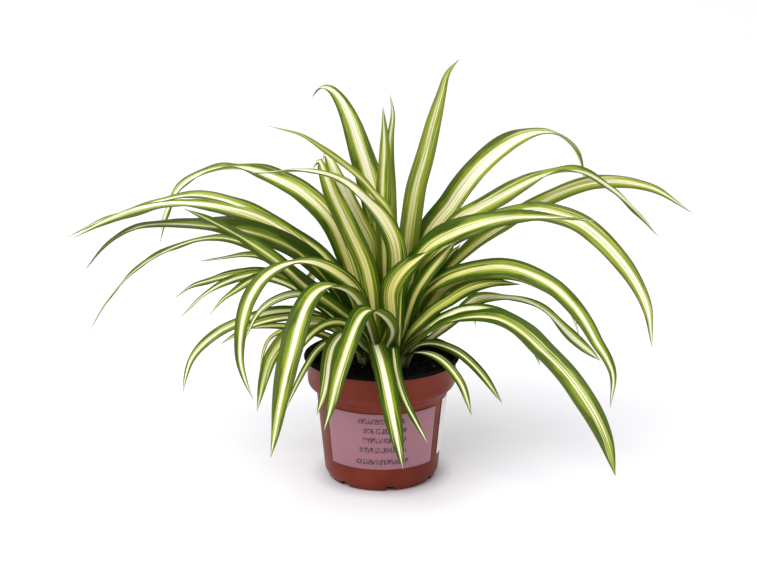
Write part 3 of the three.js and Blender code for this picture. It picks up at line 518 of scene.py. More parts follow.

# name: share of the half width that the cream stripe takes, how light (+) or dark (-) the green is,
# and how far the stripe lies off the midrib, in half widths towards the upper margin. The darkest
# greens are painted shade on leaves that lie in the shade of others.
STRIPES = {
    "leaf_high_left": (0.32, 0, 0),
    "leaf_long_left": (0.24, 0, 0),
    "leaf_under_left": (0.24, -0.05, 0.4),
    # level_left and straight_left are given dark tones as painted shade, for leaves lying in the shade of
    # others.
    "leaf_level_left": (0.03, -0.42, 0),
    "leaf_straight_left": (0.09, -0.15, 0),
    "leaf_silver_left": (0.07, -0.02, 0),
    "leaf_short_left": (0.14, -0.05, 0),
    "leaf_fan_rear": (0.22, 0, 0),
    "leaf_fan_middle": (0.22, 0, 0),
    "leaf_fan_front": (0.22, 0, 0),
    "leaf_arch_left": (0.27, 0, 0),
    "leaf_broad_front": (0.21, 0, 0),
    "leaf_middle_front": (0.18, 0, 0),
    "leaf_rim_front": (0.2, 0.05, 0),
    "leaf_label_front": (0.2, 0, 0),
    "leaf_label_right": (0.14, 0, 0),
    "leaf_rim_left": (0.3, 0.1, 0),
    "leaf_hanging_left": (0.26, 0.1, 0),
    "leaf_tucked_left": (0.24, 0, 0),
    "leaf_bow_left": (0.22, 0, 0),
    "leaf_low_left": (0.26, 0, 0),
    "leaf_slim_left": (0.22, 0, 0),
    "leaf_rim_right": (0.2, 0, 0),
    "leaf_low_right": (0.13, 0, 0),
    "leaf_broad_right": (0.13, 0, 0),
    "leaf_hidden_right": (0.24, 0, 0),
    "leaf_high_arch_right": (0.2, 0, 0),
    "leaf_behind_right": (0.42, 0, 0),
    "leaf_slim_right": (0.3, 0.05, 0),
    "leaf_short_right": (0.14, -0.1, 0),
    "leaf_level_right": (0.32, 0, 0),
    "leaf_far_right": (0.34, 0.05, 0),
    "leaf_wavy_right": (0.4, 0, -0.3),
    "leaf_high_right": (0.28, 0.05, 0.12),
    "leaf_long_right": (0.24, 0.15, 0),
    "leaf_tall": (0.19, 0.25, 0),
    "leaf_upright_rear": (0.2, 0.2, 0),
    "leaf_upright": (0.2, 0.2, 0),
    "leaf_top_left": (0.32, 0, 0),
    "leaf_diagonal": (0.2, 0.3, 0),
    "leaf_crossing": (0.34, 0, 0.12),
    "leaf_cream": (0.5, 0.1, 0),
    "leaf_inner_left": (0.26, 0.1, 0),
    "leaf_centre": (0.26, 0, 0),
    "leaf_inner_right": (0.2, -0.05, 0),
    "leaf_shaded_right": (0.2, -0.1, 0),
    "leaf_rear_right": (0.34, 0, 0),
    "leaf_rear_middle": (0.4, 0, 0),
    "leaf_rear_left": (0.3, 0.05, 0),
    "leaf_rear_low": (0.26, 0, 0),
    "leaf_rear_hanging": (0.3, 0.05, 0),
    "young_front": (0.14, 0.05, 0),
    "young_low": (0.34, 0.05, 0),
    "young_curl": (0.34, 0.1, 0),
}

# Share of butter yellow low on a stripe; the leaves hanging over the front stay nearly white. The yellow is
# partly the stripe's own colour near the foot and partly painted light, a warm glow of light shining
# through the leaves in the shaded middle of the tuft.
STRIPE_BUTTER = 0.9
WHITE_STRIPE_BUTTER = 0.15
WHITE_STRIPED = {
    "leaf_broad_front", "leaf_middle_front", "leaf_rim_front", "leaf_label_front", "leaf_label_right",
    "leaf_hanging_left", "leaf_rim_right", "leaf_low_right", "leaf_rim_left", "leaf_low_left",
    "leaf_slim_left", "leaf_bow_left", "leaf_fan_rear", "leaf_fan_middle", "leaf_fan_front",
    "leaf_broad_right", "leaf_hidden_right", "leaf_slim_right",
}


# ---------------------------------------------------------------- what a user would change


class LeafLook(bpy.types.PropertyGroup):
    """Sizes and colours of the leaves."""

    thickness: FloatProperty(
        name="Thickness", description="Thickness of a leaf at its midrib",
        default=0.0008, min=0.0003, unit="LENGTH")
    wave: FloatProperty(
        name="Margin wave", description="How far the margins of a leaf rise and fall",
        default=0.0005, min=0.0, unit="LENGTH")
    cream: FloatVectorProperty(
        name="Cream", description="Colour of the stripe along the middle of a leaf",
        default=(0.96, 0.93, 0.74), size=3, min=0, max=1, subtype="COLOR")
    # Partly the stripe's own colour and partly painted light shining through the leaves.
    butter: FloatVectorProperty(
        name="Butter", description="Colour of the stripe near the foot of a leaf",
        default=(0.80, 0.72, 0.22), size=3, min=0, max=1, subtype="COLOR")
    lime: FloatVectorProperty(
        name="Lime", description="Colour of the fine lines beside the stripe",
        default=(0.43, 0.47, 0.060), size=3, min=0, max=1, subtype="COLOR")
    green: FloatVectorProperty(
        name="Green", description="Colour of the leaf between the stripe and the margin",
        default=(0.138, 0.222, 0.004), size=3, min=0, max=1, subtype="COLOR")
    margin: FloatVectorProperty(
        name="Margin", description="Colour of the leaf along its margin",
        default=(0.030, 0.070, 0.002), size=3, min=0, max=1, subtype="COLOR")


class SheathLook(bpy.types.PropertyGroup):
    """Sizes and colours of the pale sheaths at the foot of each tuft."""

    count: IntProperty(
        name="Sheaths", description="Number of sheaths round each tuft", default=8, min=3)
    # Kept darker than such pale bases are, as painted shade deep in the tuft.
    pale: FloatVectorProperty(
        name="Pale", description="Colour of a sheath", default=(0.34, 0.38, 0.15),
        size=3, min=0, max=1, subtype="COLOR")


class SoilLook(bpy.types.PropertyGroup):
    """Sizes and colours of the peat."""

    crumbs: IntProperty(
        name="Crumbs", description="Number of loose crumbs on the peat", default=900, min=0)
    grains: IntProperty(
        name="White grains", description="Number of white grains in the peat", default=26, min=0)
    peat: FloatVectorProperty(
        name="Peat", description="Colour of the peat", default=(0.004, 0.003, 0.0025),
        size=3, min=0, max=1, subtype="COLOR")


class PotLook(bpy.types.PropertyGroup):
    """Colours of the pot and its labels."""

    outside: FloatVectorProperty(
        name="Outside", description="Colour of the pot's outside", default=(0.192, 0.030, 0.015),
        size=3, min=0, max=1, subtype="COLOR")
    inside: FloatVectorProperty(
        name="Inside", description="Colour of the pot's lip and inside",
        default=(0.006, 0.005, 0.005), size=3, min=0, max=1, subtype="COLOR")
    mauve: FloatVectorProperty(
        name="Front label", description="Colour of the front label",
        default=(0.345, 0.150, 0.186), size=3, min=0, max=1, subtype="COLOR")
    white: FloatVectorProperty(
        name="Side label", description="Colour of the side label",
        default=(0.82, 0.80, 0.79), size=3, min=0, max=1, subtype="COLOR")
    ink: FloatVectorProperty(
        name="Ink", description="Colour of the marks on the front label",
        default=(0.05, 0.014, 0.035), size=3, min=0, max=1, subtype="COLOR")


class StageLook(bpy.types.PropertyGroup):
    """Light and floor."""

    key: FloatProperty(
        name="Key light", description="Power of the large lamp at the upper left",
        default=36.0, min=0, unit="POWER")
    fill: FloatProperty(
        name="Fill light", description="Power of the large lamp at the right",
        default=4.0, min=0, unit="POWER")
    sky: FloatProperty(name="Surroundings", description="Strength of the white surroundings",
                       default=0.52, min=0)
    floor: FloatVectorProperty(
        name="Floor", description="Colour of the floor", default=(0.75, 0.745, 0.785),
        size=3, min=0, max=1, subtype="COLOR")


# ---------------------------------------------------------------- shaders


def new_material(name):
    """A material with one Principled shader, ready for its nodes."""
    material = bpy.data.materials.new(name)
    material.use_nodes = True
    tree = material.node_tree
    tree.nodes.clear()
    output = tree.nodes.new("ShaderNodeOutputMaterial")
    skin = tree.nodes.new("ShaderNodeBsdfPrincipled")
    tree.links.new(skin.outputs[0], output.inputs["Surface"])
    return material, tree, skin


def feed(tree, socket, value):
    """Links a socket to a node's output, or sets it to a plain value."""
    if isinstance(value, bpy.types.NodeSocket):
        tree.links.new(value, socket)
    elif hasattr(value, "__len__") and len(value) == 3 and len(socket.default_value) == 4:
        socket.default_value = (*value, 1)
    else:
        socket.default_value = value


def sums(tree, operation, *values):
    step = tree.nodes.new("ShaderNodeMath")
    step.operation = operation
    for socket, value in zip(step.inputs, values):
        feed(tree, socket, value)
    return step.outputs[0]


def plus(tree, first, second):
    return sums(tree, "ADD", first, second)


def times(tree, first, second):
    return sums(tree, "MULTIPLY", first, second)


def blended(tree, factor, first, second, how="MIX"):
    step = tree.nodes.new("ShaderNodeMix")
    step.data_type = "RGBA"
    step.blend_type = how
    step.clamp_factor = True
    feed(tree, step.inputs["Factor"], factor)
    feed(tree, step.inputs["A"], first)
    feed(tree, step.inputs["B"], second)
    return step.outputs["Result"]


def eased(tree, value, low, high, start=0.0, end=1.0):
    """A smooth step from start, where the value is low, to end, where it is high."""
    step = tree.nodes.new("ShaderNodeMapRange")
    step.interpolation_type = "SMOOTHSTEP"
    feed(tree, step.inputs["Value"], value)
    step.inputs["From Min"].default_value = low
    step.inputs["From Max"].default_value = high
    step.inputs["To Min"].default_value = start
    step.inputs["To Max"].default_value = end
    return step.outputs["Result"]


def attribute(tree, name):
    step = tree.nodes.new("ShaderNodeAttribute")
    step.attribute_name = name
    return step


def split(tree, vector):
    step = tree.nodes.new("ShaderNodeSeparateXYZ")
    feed(tree, step.inputs[0], vector)
    return step.outputs


def joined(tree, x, y, z):
    step = tree.nodes.new("ShaderNodeCombineXYZ")
    for socket, value in zip(step.inputs, (x, y, z)):
        feed(tree, socket, value)
    return step.outputs[0]


def grainy(tree, place, scale, detail=2.0, rough=0.5):
    step = tree.nodes.new("ShaderNodeTexNoise")
    feed(tree, step.inputs["Vector"], place)
    step.inputs["Scale"].default_value = scale
    step.inputs["Detail"].default_value = detail
    step.inputs["Roughness"].default_value = rough
    return step.outputs["Fac"]


def bumped(tree, skin, height, strength, distance):
    step = tree.nodes.new("ShaderNodeBump")
    step.inputs["Strength"].default_value = strength
    step.inputs["Distance"].default_value = distance
    feed(tree, step.inputs["Height"], height)
    tree.links.new(step.outputs[0], skin.inputs["Normal"])


def object_place(tree):
    return tree.nodes.new("ShaderNodeTexCoord").outputs["Object"]


def leaf_material():
    """Striped leaf: cream along the middle, fine lime lines, green, and a darker margin."""
    look = bpy.context.scene.plant_leaf
    material, tree, skin = new_material("variegated_leaf")
    across, along, seed = split(tree, attribute(tree, "blade_place").outputs["Vector"])
    side, stripe, tone = split(tree, attribute(tree, "blade_form").outputs["Vector"])
    under = attribute(tree, "blade_under").outputs["Fac"]
    butter = attribute(tree, "blade_butter").outputs["Fac"]
    depth = times(tree, seed, SEED_SPREAD)

    # The stripe's middle and width wander a little along the leaf.
    drift = grainy(tree, joined(tree, seed, times(tree, along, DRIFT_RATE), depth), *DRIFT_CLOUD)
    swing = grainy(tree, joined(tree, depth, times(tree, along, SWING_RATE), seed), *SWING_CLOUD)
    off = plus(tree, side, eased(tree, swing, *SWING))
    reach = sums(tree, "SUBTRACT", sums(tree, "ABSOLUTE", off), stripe)
    reach = sums(tree, "SUBTRACT", reach, eased(tree, drift, *DRIFT))
    streak_place = joined(tree, plus(tree, across, seed), times(tree, along, STREAK_RATE), depth)
    streaks = grainy(tree, streak_place, *STREAK_CLOUD)
    veins = grainy(tree, streak_place, *VEIN_CLOUD)
    patches = grainy(tree, joined(tree, side, times(tree, along, PATCH_RATE), depth), *PATCH_CLOUD)

    # From the stripe out: cream, a lime line, green, the darker margin.
    young = eased(tree, along, *YOUNG_FROM)
    # Butter yellow low on the stripe: partly its own colour, partly painted light shining through the
    # leaves.
    cream = blended(tree, times(tree, young, butter), look.cream, look.butter)
    lime = blended(tree, eased(tree, reach, *LIME_FROM), cream, look.lime)
    green = blended(tree, eased(tree, reach, *GREEN_FROM), lime, look.green)
    deep = plus(tree, reach, eased(tree, patches, *PATCH_SHIFT))
    colour = blended(tree, eased(tree, deep, *MARGIN_FROM), green, look.margin)

    # Painted light and painted shade: the green is painted paler and greyer towards the leaf's point, as
    # light and sheen on the outer leaves, and deepest low in the tuft, as shade among the leaves.
    outside = eased(tree, reach, *OUTSIDE_STRIPE)
    painted_light = times(tree, eased(tree, along, *PAINTED_LIGHT_FROM), outside)
    painted_light = times(tree, painted_light, eased(tree, deep, *PAINTED_LIGHT_SHARE))
    colour = blended(tree, painted_light, colour, PAINTED_LIGHT_GREEN)
    # Painted shade: the green is darkened low in the tuft, where the leaves shade each other.
    low = times(tree, eased(tree, along, *PAINTED_SHADE_FROM), outside)
    colour = blended(tree, times(tree, low, PAINTED_SHADE_SHARE), colour, PAINTED_SHADE_GREEN)

    # Lime and cream lines in the green, and lime and green lines in the cream.
    outer = times(tree, eased(tree, reach, *OUTER_LINES_FROM), eased(tree, reach, *OUTER_LINES_TO))
    outer = times(tree, outer, eased(tree, stripe, *OUTER_LINES_BY_STRIPE))
    inner = times(tree, eased(tree, reach, *INNER_LINES_FROM), eased(tree, reach, *INNER_LINES_TO))
    for (streak, strength), where, paint in (
        (PALE_LINE, outer, look.lime),
        (CREAM_LINE, outer, cream),
        (LIME_LINE, inner, look.lime),
        (GREEN_LINE, inner, look.green),
    ):
        line = times(tree, eased(tree, streaks, *streak), where)
        colour = blended(tree, times(tree, line, strength), colour, paint)

    # Each leaf is a little lighter or darker, with faint veins; the dark tones of leaves that lie in shade,
    # such as level_left and straight_left, are painted shade.
    colour = blended(tree, sums(tree, "MAXIMUM", tone, 0.0), colour, look.lime)
    shade = plus(tree, eased(tree, veins, *VEIN_SHADE), sums(tree, "MINIMUM", tone, 0.0))
    colour = blended(tree, 1.0, colour, joined(tree, shade, shade, shade), "MULTIPLY")

    # The underside is a little duller, and the foot of the leaf paler.
    colour = blended(tree, times(tree, under, UNDER_SHARE), colour, UNDER_GREEN)
    foot = eased(tree, along, *FOOT_FROM)
    colour = blended(tree, times(tree, foot, FOOT_SHARE), colour, FOOT_GREEN)
    feed(tree, skin.inputs["Base Color"], colour)

    rough = plus(tree, eased(tree, veins, *LEAF_ROUGH), times(tree, under, UNDER_ROUGHER))
    feed(tree, skin.inputs["Roughness"], rough)
    skin.inputs["IOR"].default_value = LEAF_IOR
    feed(tree, skin.inputs["Specular IOR Level"], eased(tree, along, *LEAF_SHINE))
    bumped(tree, skin, plus(tree, times(tree, streaks, STREAK_RELIEF), veins), *LEAF_RELIEF)
    return material


def sheath_material():
    """Pale leaf bases with fine green veins, greener at the top and browner at the soil. Their colours are
    kept darker than the real bases, as painted shade deep in the tuft.
    """
    look = bpy.context.scene.plant_sheath
    material, tree, skin = new_material("pale_sheath")
    across, along, seed = split(tree, attribute(tree, "blade_place").outputs["Vector"])
    place = joined(tree, plus(tree, across, seed), times(tree, along, SHEATH_VEIN_RATE), seed)
    veins = grainy(tree, place, *SHEATH_CLOUD)
    colour = blended(tree, eased(tree, veins, *SHEATH_VEIN), look.pale, SHEATH_VEIN_GREEN)
    colour = blended(tree, eased(tree, along, *SHEATH_TOP_FROM), colour, SHEATH_TOP_GREEN)
    colour = blended(tree, eased(tree, along, *SHEATH_FOOT_FROM), colour, SHEATH_FOOT_BROWN)
    feed(tree, skin.inputs["Base Color"], colour)
    feed(tree, skin.inputs["Roughness"], eased(tree, veins, *SHEATH_ROUGH))
    bumped(tree, skin, veins, *SHEATH_RELIEF)
    return material


def pot_material(name, colour, rough, shine):
    """Thin moulded plastic: faint mottling, fine scuffs and a satin skin."""
    material, tree, skin = new_material(name)
    place = object_place(tree)
    cloud = grainy(tree, place, *PLASTIC_CLOUD)
    scuffs = grainy(tree, place, *PLASTIC_SCUFFS)
    darker = tuple(PLASTIC_DARKER * part for part in colour)
    shade = blended(tree, eased(tree, cloud, *PLASTIC_MOTTLE), colour, darker)
    feed(tree, skin.inputs["Base Color"], shade)
    satin = eased(tree, cloud, *PLASTIC_SATIN, rough - PLASTIC_SMOOTHER, rough + PLASTIC_ROUGHER)
    feed(tree, skin.inputs["Roughness"], satin)
    skin.inputs["IOR"].default_value = PLASTIC_IOR
    skin.inputs["Specular IOR Level"].default_value = shine
    bumped(tree, skin, plus(tree, times(tree, scuffs, PLASTIC_SCUFF_SHARE), cloud), *PLASTIC_RELIEF)
    return material


def label_material(name, colour, printed):
    """Thin coated paper; the printed one has five rows of plain ink marks, which are no letters."""
    look = bpy.context.scene.plant_pot
    material, tree, skin = new_material(name)
    across, up, _ = split(tree, attribute(tree, "label_place").outputs["Vector"])
    fibre = grainy(tree, joined(tree, across, up, 0.0), *PAPER_CLOUD)
    faded = tuple(PAPER_FADED * part for part in colour)
    shade = blended(tree, eased(tree, fibre, *PAPER_FIBRE), colour, faded)
    if printed:
        slanted = sums(tree, "SUBTRACT", across, times(tree, up, INK_SLANT))
        place = joined(tree, slanted, times(tree, up, INK_STRETCH), INK_SLICE)
        marks = eased(tree, grainy(tree, place, *INK_CLOUD), *INK_STROKE)
        rows = 0.0
        for height, left, right in INK_ROWS:
            level = sums(tree, "ABSOLUTE", sums(tree, "SUBTRACT", up, height))
            within = eased(tree, level, *(INK_TALL / 2 + soft for soft in INK_ROW_SOFT))
            begun = eased(tree, across, left, left + INK_END_SOFT)
            ended = eased(tree, across, right + INK_END_SOFT, right)
            rows = sums(tree, "MAXIMUM", rows, times(tree, within, times(tree, begun, ended)))
        shade = blended(tree, times(tree, times(tree, rows, marks), INK_SHARE), shade, look.ink)
    feed(tree, skin.inputs["Base Color"], shade)
    skin.inputs["Roughness"].default_value = PAPER_ROUGH
    bumped(tree, skin, fibre, *PAPER_RELIEF)
    return material


def peat_material():
    """Dark damp peat, a little browner on its lumps."""
    look = bpy.context.scene.plant_soil
    material, tree, skin = new_material("peat")
    lumps = grainy(tree, object_place(tree), *PEAT_CLOUD)
    brown = tuple(min(1.0, PEAT_PALER * part) for part in look.peat)
    feed(tree, skin.inputs["Base Color"], blended(tree, eased(tree, lumps, *PEAT_LUMPS), look.peat, brown))
    skin.inputs["Roughness"].default_value = PEAT_ROUGH
    skin.inputs["Specular IOR Level"].default_value = PEAT_SHINE
    bumped(tree, skin, lumps, *PEAT_RELIEF)
    return material


def grain_material():
    """Pitted off-white mineral grains."""
    material, tree, skin = new_material("white_grain")
    pits = grainy(tree, object_place(tree), *GRAIN_CLOUD)
    shade = blended(tree, eased(tree, pits, *GRAIN_PITS), GRAIN_PALE, GRAIN_DULL)
    feed(tree, skin.inputs["Base Color"], shade)
    skin.inputs["Roughness"].default_value = GRAIN_ROUGH
    bumped(tree, skin, pits, *GRAIN_RELIEF)
    return material


def floor_material(look):
    """Matt pale sheet with a faint painted glow, weaker near the pot as painted shade and gone round the
    pot's foot as a painted shadow.
    """
    material, tree, skin = new_material("studio_floor")
    cloud = grainy(tree, object_place(tree), *FLOOR_CLOUD)
    paler = tuple(min(1.0, part * FLOOR_PALER) for part in look.floor)
    feed(tree, skin.inputs["Base Color"], blended(tree, cloud, tuple(look.floor), paler))
    x, y, _ = split(tree, object_place(tree))
    away = sums(tree, "SQRT", plus(tree, times(tree, x, x), times(tree, y, y)))
    # Painted glow, which paints shade near the pot and a shadow round its foot.
    painted_glow = times(tree, eased(tree, away, *FLOOR_PAINTED_GLOW), eased(tree, away, *FOOT_PAINTED_SHADOW))
    skin.inputs["Emission Color"].default_value = (1, 1, 1, 1)
    feed(tree, skin.inputs["Emission Strength"], painted_glow)
    skin.inputs["Roughness"].default_value = FLOOR_ROUGH
    skin.inputs["Specular IOR Level"].default_value = FLOOR_SHINE
    return material


# ---------------------------------------------------------------- meshes


def make_object(name, points, faces, smooth=None):
    """A mesh object from points in millimetres, with its faces smooth unless a list says otherwise."""
    mesh = bpy.data.meshes.new(name)
    mesh.from_pydata((np.asarray(points) * MM).tolist(), [], faces)
    mesh.polygons.foreach_set("use_smooth", [True] * len(faces) if smooth is None else smooth)
    mesh.update()
    thing = bpy.data.objects.new(name, mesh)
    bpy.context.scene.collection.objects.link(thing)
    return thing


def set_attribute(thing, name, kind, values):
    field = thing.data.attributes.new(name, kind, "POINT")
    key = "vector" if kind == "FLOAT_VECTOR" else "value"
    field.data.foreach_set(key, np.asarray(values, np.float32).ravel())


def seated(thing, node):
    """Rides on the part and stands for its node, whose part is hidden."""
    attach(thing, BODY)
    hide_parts(node)


def sight(point):
    """The place of a sighted point: the line from the camera through it, as far as its back."""
    across, up, back = point
    eye = np.array(EYE) / MM
    t = (back - eye[1]) / -eye[1]
    return [eye[0] + (across - eye[0]) * t, back, eye[2] + (up - eye[2]) * t]


def smooth_curve(points):
    """Closely spaced points of a centripetal curve through the given ones."""
    points = np.asarray(points, float)
    points = np.vstack([2 * points[0] - points[1], points, 2 * points[-1] - points[-2]])
    spans = len(points) - 3
    each = math.ceil(CURVE_SAMPLES / spans)
    steps = np.linspace(0, 1, each, endpoint=False)[:, None]
    line = []
    for i in range(spans):
        a, b, c, d = points[i:i + 4]
        before, here, after = (
            max(np.linalg.norm(q - p) ** 0.5, LEAST_SPAN) for p, q in ((a, b), (b, c), (c, d)))
        leave = ((b - a) / before - (c - a) / (before + here) + (c - b) / here) * here
        arrive = ((c - b) / here - (d - b) / (here + after) + (d - c) / after) * here
        line.append(b + leave * steps + (3 * (c - b) - 2 * leave - arrive) * steps ** 2
                    + (2 * (b - c) + leave + arrive) * steps ** 3)
    line.append(points[-2][None])
    return np.vstack(line)


def distances(line):
    """How far along the line each of its points is."""
    return np.concatenate([[0], np.cumsum(np.linalg.norm(np.diff(line, axis=0), axis=1))])


def length_of(line):
    return np.linalg.norm(np.diff(line, axis=0), axis=1).sum()


def resampled(line, count):
    """The line as count + 1 evenly spaced points, and their distances from its start."""
    lengths = distances(line)
    even = np.linspace(0, lengths[-1], count + 1)
    return np.stack([np.interp(even, lengths, line[:, k]) for k in range(3)], axis=1), even


def normalised(rows):
    return rows / np.linalg.norm(rows, axis=1)[:, None]


def width_share(s, widest):
    """Share of a leaf's full width at the share s of its length."""
    grown = min(s / (widest * BROAD_FROM), 1)
    base = BASE_SHARE + (1 - BASE_SHARE) * math.sin(grown * math.pi / 2)
    return base * (1 - max((s - widest) / (1 - widest), 0) ** POINT_POWER)


def fold_angle(s):
    return math.radians(FOLD_ROOT - FOLD_FALL * s if s < FOLD_REST_FROM else FOLD_REST)


def sweep(line, side, flip, widths, folds, rolls, thickness, wave, seed, columns=BLADE_COLUMNS):
    """A closed blade swept along a line: its points, faces, smooth flags, places, sides and underside.

    Every row across has the upper face's points, then the lower face's.
    """
    count = len(line)
    along = normalised(np.gradient(line, axis=0))
    flat = normalised(side - along * (along @ side)[:, None])
    face = np.cross(along, flat) * (-1 if flip else 1)
    turn = np.radians(rolls)[:, None]
    right = flat * np.cos(turn) - face * np.sin(turn)
    up = face * np.cos(turn) + flat * np.sin(turn)
    v = np.linspace(-1, 1, columns + 1)
    crease = (np.sqrt(v ** 2 + CREASE) - math.sqrt(CREASE)) / (math.sqrt(1 + CREASE) - math.sqrt(CREASE))
    curl = np.maximum(np.abs(v) - CURL_FROM, 0) ** 2 * CURL
    lengths = distances(line)
    row = columns + 1
    points, places, sides, under = [], [], [], []
    for i in range(count):
        half = widths[i] / 2
        ripple = wave * np.array([
            noise.noise(Vector((lengths[i] / WAVE_LENGTH, seed + (WAVE_OTHER_SIDE if q < 0 else 0), 0)))
            for q in v])
        ripple = ripple * np.abs(v) ** 2 * min(half, WAVE_HALF) * WAVE_GAIN
        lift = half * math.sin(folds[i]) * crease - half * curl + ripple
        body = np.minimum(thickness * (1 - EDGE_THIN * v ** 2), half * MOST_THICK)
        middle = line[i] + np.outer(v * half * math.cos(folds[i]), right[i]) + np.outer(lift, up[i])
        for skin in (0.5, -0.5):
            points.append(middle + np.outer(body * skin, up[i]))
            places.append(np.stack([v * half, np.full(row, lengths[i]), np.full(row, seed)], axis=1))
            sides.append(v)
            under.append(np.full(row, 0.0 if skin > 0 else 1.0))
    faces, smooth = [], []

    def quad(a, b, c, d, soft):
        faces.append((d, c, b, a) if flip else (a, b, c, d))
        smooth.append(soft)

    for i in range(count - 1):
        o = i * 2 * row
        n = o + 2 * row
        for j in range(columns):
            quad(o + j, n + j, n + j + 1, o + j + 1, True)
            quad(o + row + j, o + row + j + 1, n + row + j + 1, n + row + j, True)
        quad(o, o + row, n + row, n, False)
        quad(o + columns, n + columns, n + row + columns, o + row + columns, False)
    e = (count - 1) * 2 * row
    for j in range(columns):
        quad(j, j + 1, row + j + 1, row + j, False)
        quad(e + j, e + row + j, e + row + j + 1, e + j + 1, False)
    return np.vstack(points), faces, smooth, np.vstack(places), np.concatenate(sides), np.concatenate(under)


def blade(name, crown, width, widest, rolls, route, place, seed):
    """One leaf, from the soil beside its crown's axis to its point."""
    look = bpy.context.scene.plant_leaf
    x, y = CROWNS[crown]
    points = [place(p) for p in route]
    foot = np.array([x, y, SOIL_TOP], float)
    away = np.array(points[0]) - foot
    away /= np.linalg.norm(away)
    root = np.array([x, y, SOIL_TOP + ROOT_LOW + ROOT_RISE * away[2]])
    root[:2] += away[:2] * CROWN_RADIUS * ROOT_OUT
    line = smooth_curve([root, *points])
    first, last = line[0], line[-1]
    heading = math.atan2(last[1] - first[1], last[0] - first[0])
    ahead = math.cos(heading) >= 0
    side = np.array([math.sin(heading), -math.cos(heading), 0]) * (1 if ahead else -1)

    start = np.array([x + away[0] * STUB_OUT, y + away[1] * STUB_OUT, SOIL_TOP - STUB_DEPTH])
    outset = (line[1] - line[0]) / np.linalg.norm(line[1] - line[0])
    bend = first - outset * np.linalg.norm(first - start) * STUB_BEND
    t = np.linspace(0, 1, STUB_SAMPLES, endpoint=False)[:, None]
    stub = start * (1 - t) ** 2 + bend * 2 * t * (1 - t) + first * t ** 2
    whole = np.vstack([stub, line])
    total, length = length_of(whole), length_of(line)
    line, far = resampled(whole, max(LEAST_STATIONS, round(total / STATION)))

    s = np.clip((far - (total - length)) / length, 0, 1)
    widths = np.array([max(width * width_share(q, widest), TIP_WIDTH) for q in s])
    folds = np.array([fold_angle(q) for q in s])
    turns = np.interp(s, np.linspace(0, 1, len(rolls)), rolls)
    twist = np.array([TWIST * noise.noise(Vector((q * TWIST_RATE, seed, TWIST_SLICE))) for q in s])
    turns += twist * np.minimum(s * TWIST_GROWTH, 1)
    made = sweep(line, side, ahead, widths, folds, turns, look.thickness / MM, look.wave / MM, seed)
    points, faces, smooth, places, sides, under = made
    thing = make_object(name.replace("leaf_", "blade_"), points, faces, smooth)
    stripe, tone, shift = STRIPES[name]
    form = np.stack([sides + shift, np.full(len(sides), stripe), np.full(len(sides), tone)], axis=1)
    butter = WHITE_STRIPE_BUTTER if name in WHITE_STRIPED else STRIPE_BUTTER
    set_attribute(thing, "blade_place", "FLOAT_VECTOR", places)
    set_attribute(thing, "blade_form", "FLOAT_VECTOR", form)
    set_attribute(thing, "blade_under", "FLOAT", under)
    set_attribute(thing, "blade_butter", "FLOAT", np.full(len(under), butter))
    return thing


def turned(outline, segments):
    """A turned body whose outline starts and ends on the axis: points, faces, each face's step."""
    points, faces, band, rings = [], [], [], []
    for radius, height in outline:
        if radius == 0:
            rings.append([len(points)])
            points.append((0, 0, height))
            continue
        rings.append(list(range(len(points), len(points) + segments)))
        for k in range(segments):
            angle = 2 * math.pi * k / segments
            points.append((radius * math.cos(angle), radius * math.sin(angle), height))
    for step, (a, b) in enumerate(zip(rings, rings[1:])):
        for k in range(segments):
            m = (k + 1) % segments
            if len(a) == 1:
                faces.append((a[0], b[m], b[k]))
            elif len(b) == 1:
                faces.append((a[k], a[m], b[0]))
            else:
                faces.append((a[k], a[m], b[m], b[k]))
            band.append(step)
    return points, faces, band


def wall_radius(z):
    return WALL_FOOT + (WALL_TOP - WALL_FOOT) * (z - WALL_FOOT_Z) / (WALL_TOP_Z - WALL_FOOT_Z)


def cut(thing, tool):
    """Cuts the tool out of the thing, and drops the tool."""
    change = thing.modifiers.new("cut", "BOOLEAN")
    change.operation = "DIFFERENCE"
    change.solver = "EXACT"
    change.object = tool
    bpy.context.view_layer.objects.active = thing
    bpy.ops.object.modifier_apply(modifier=change.name)
    bpy.data.objects.remove(tool)


# ---------------------------------------------------------------- operators


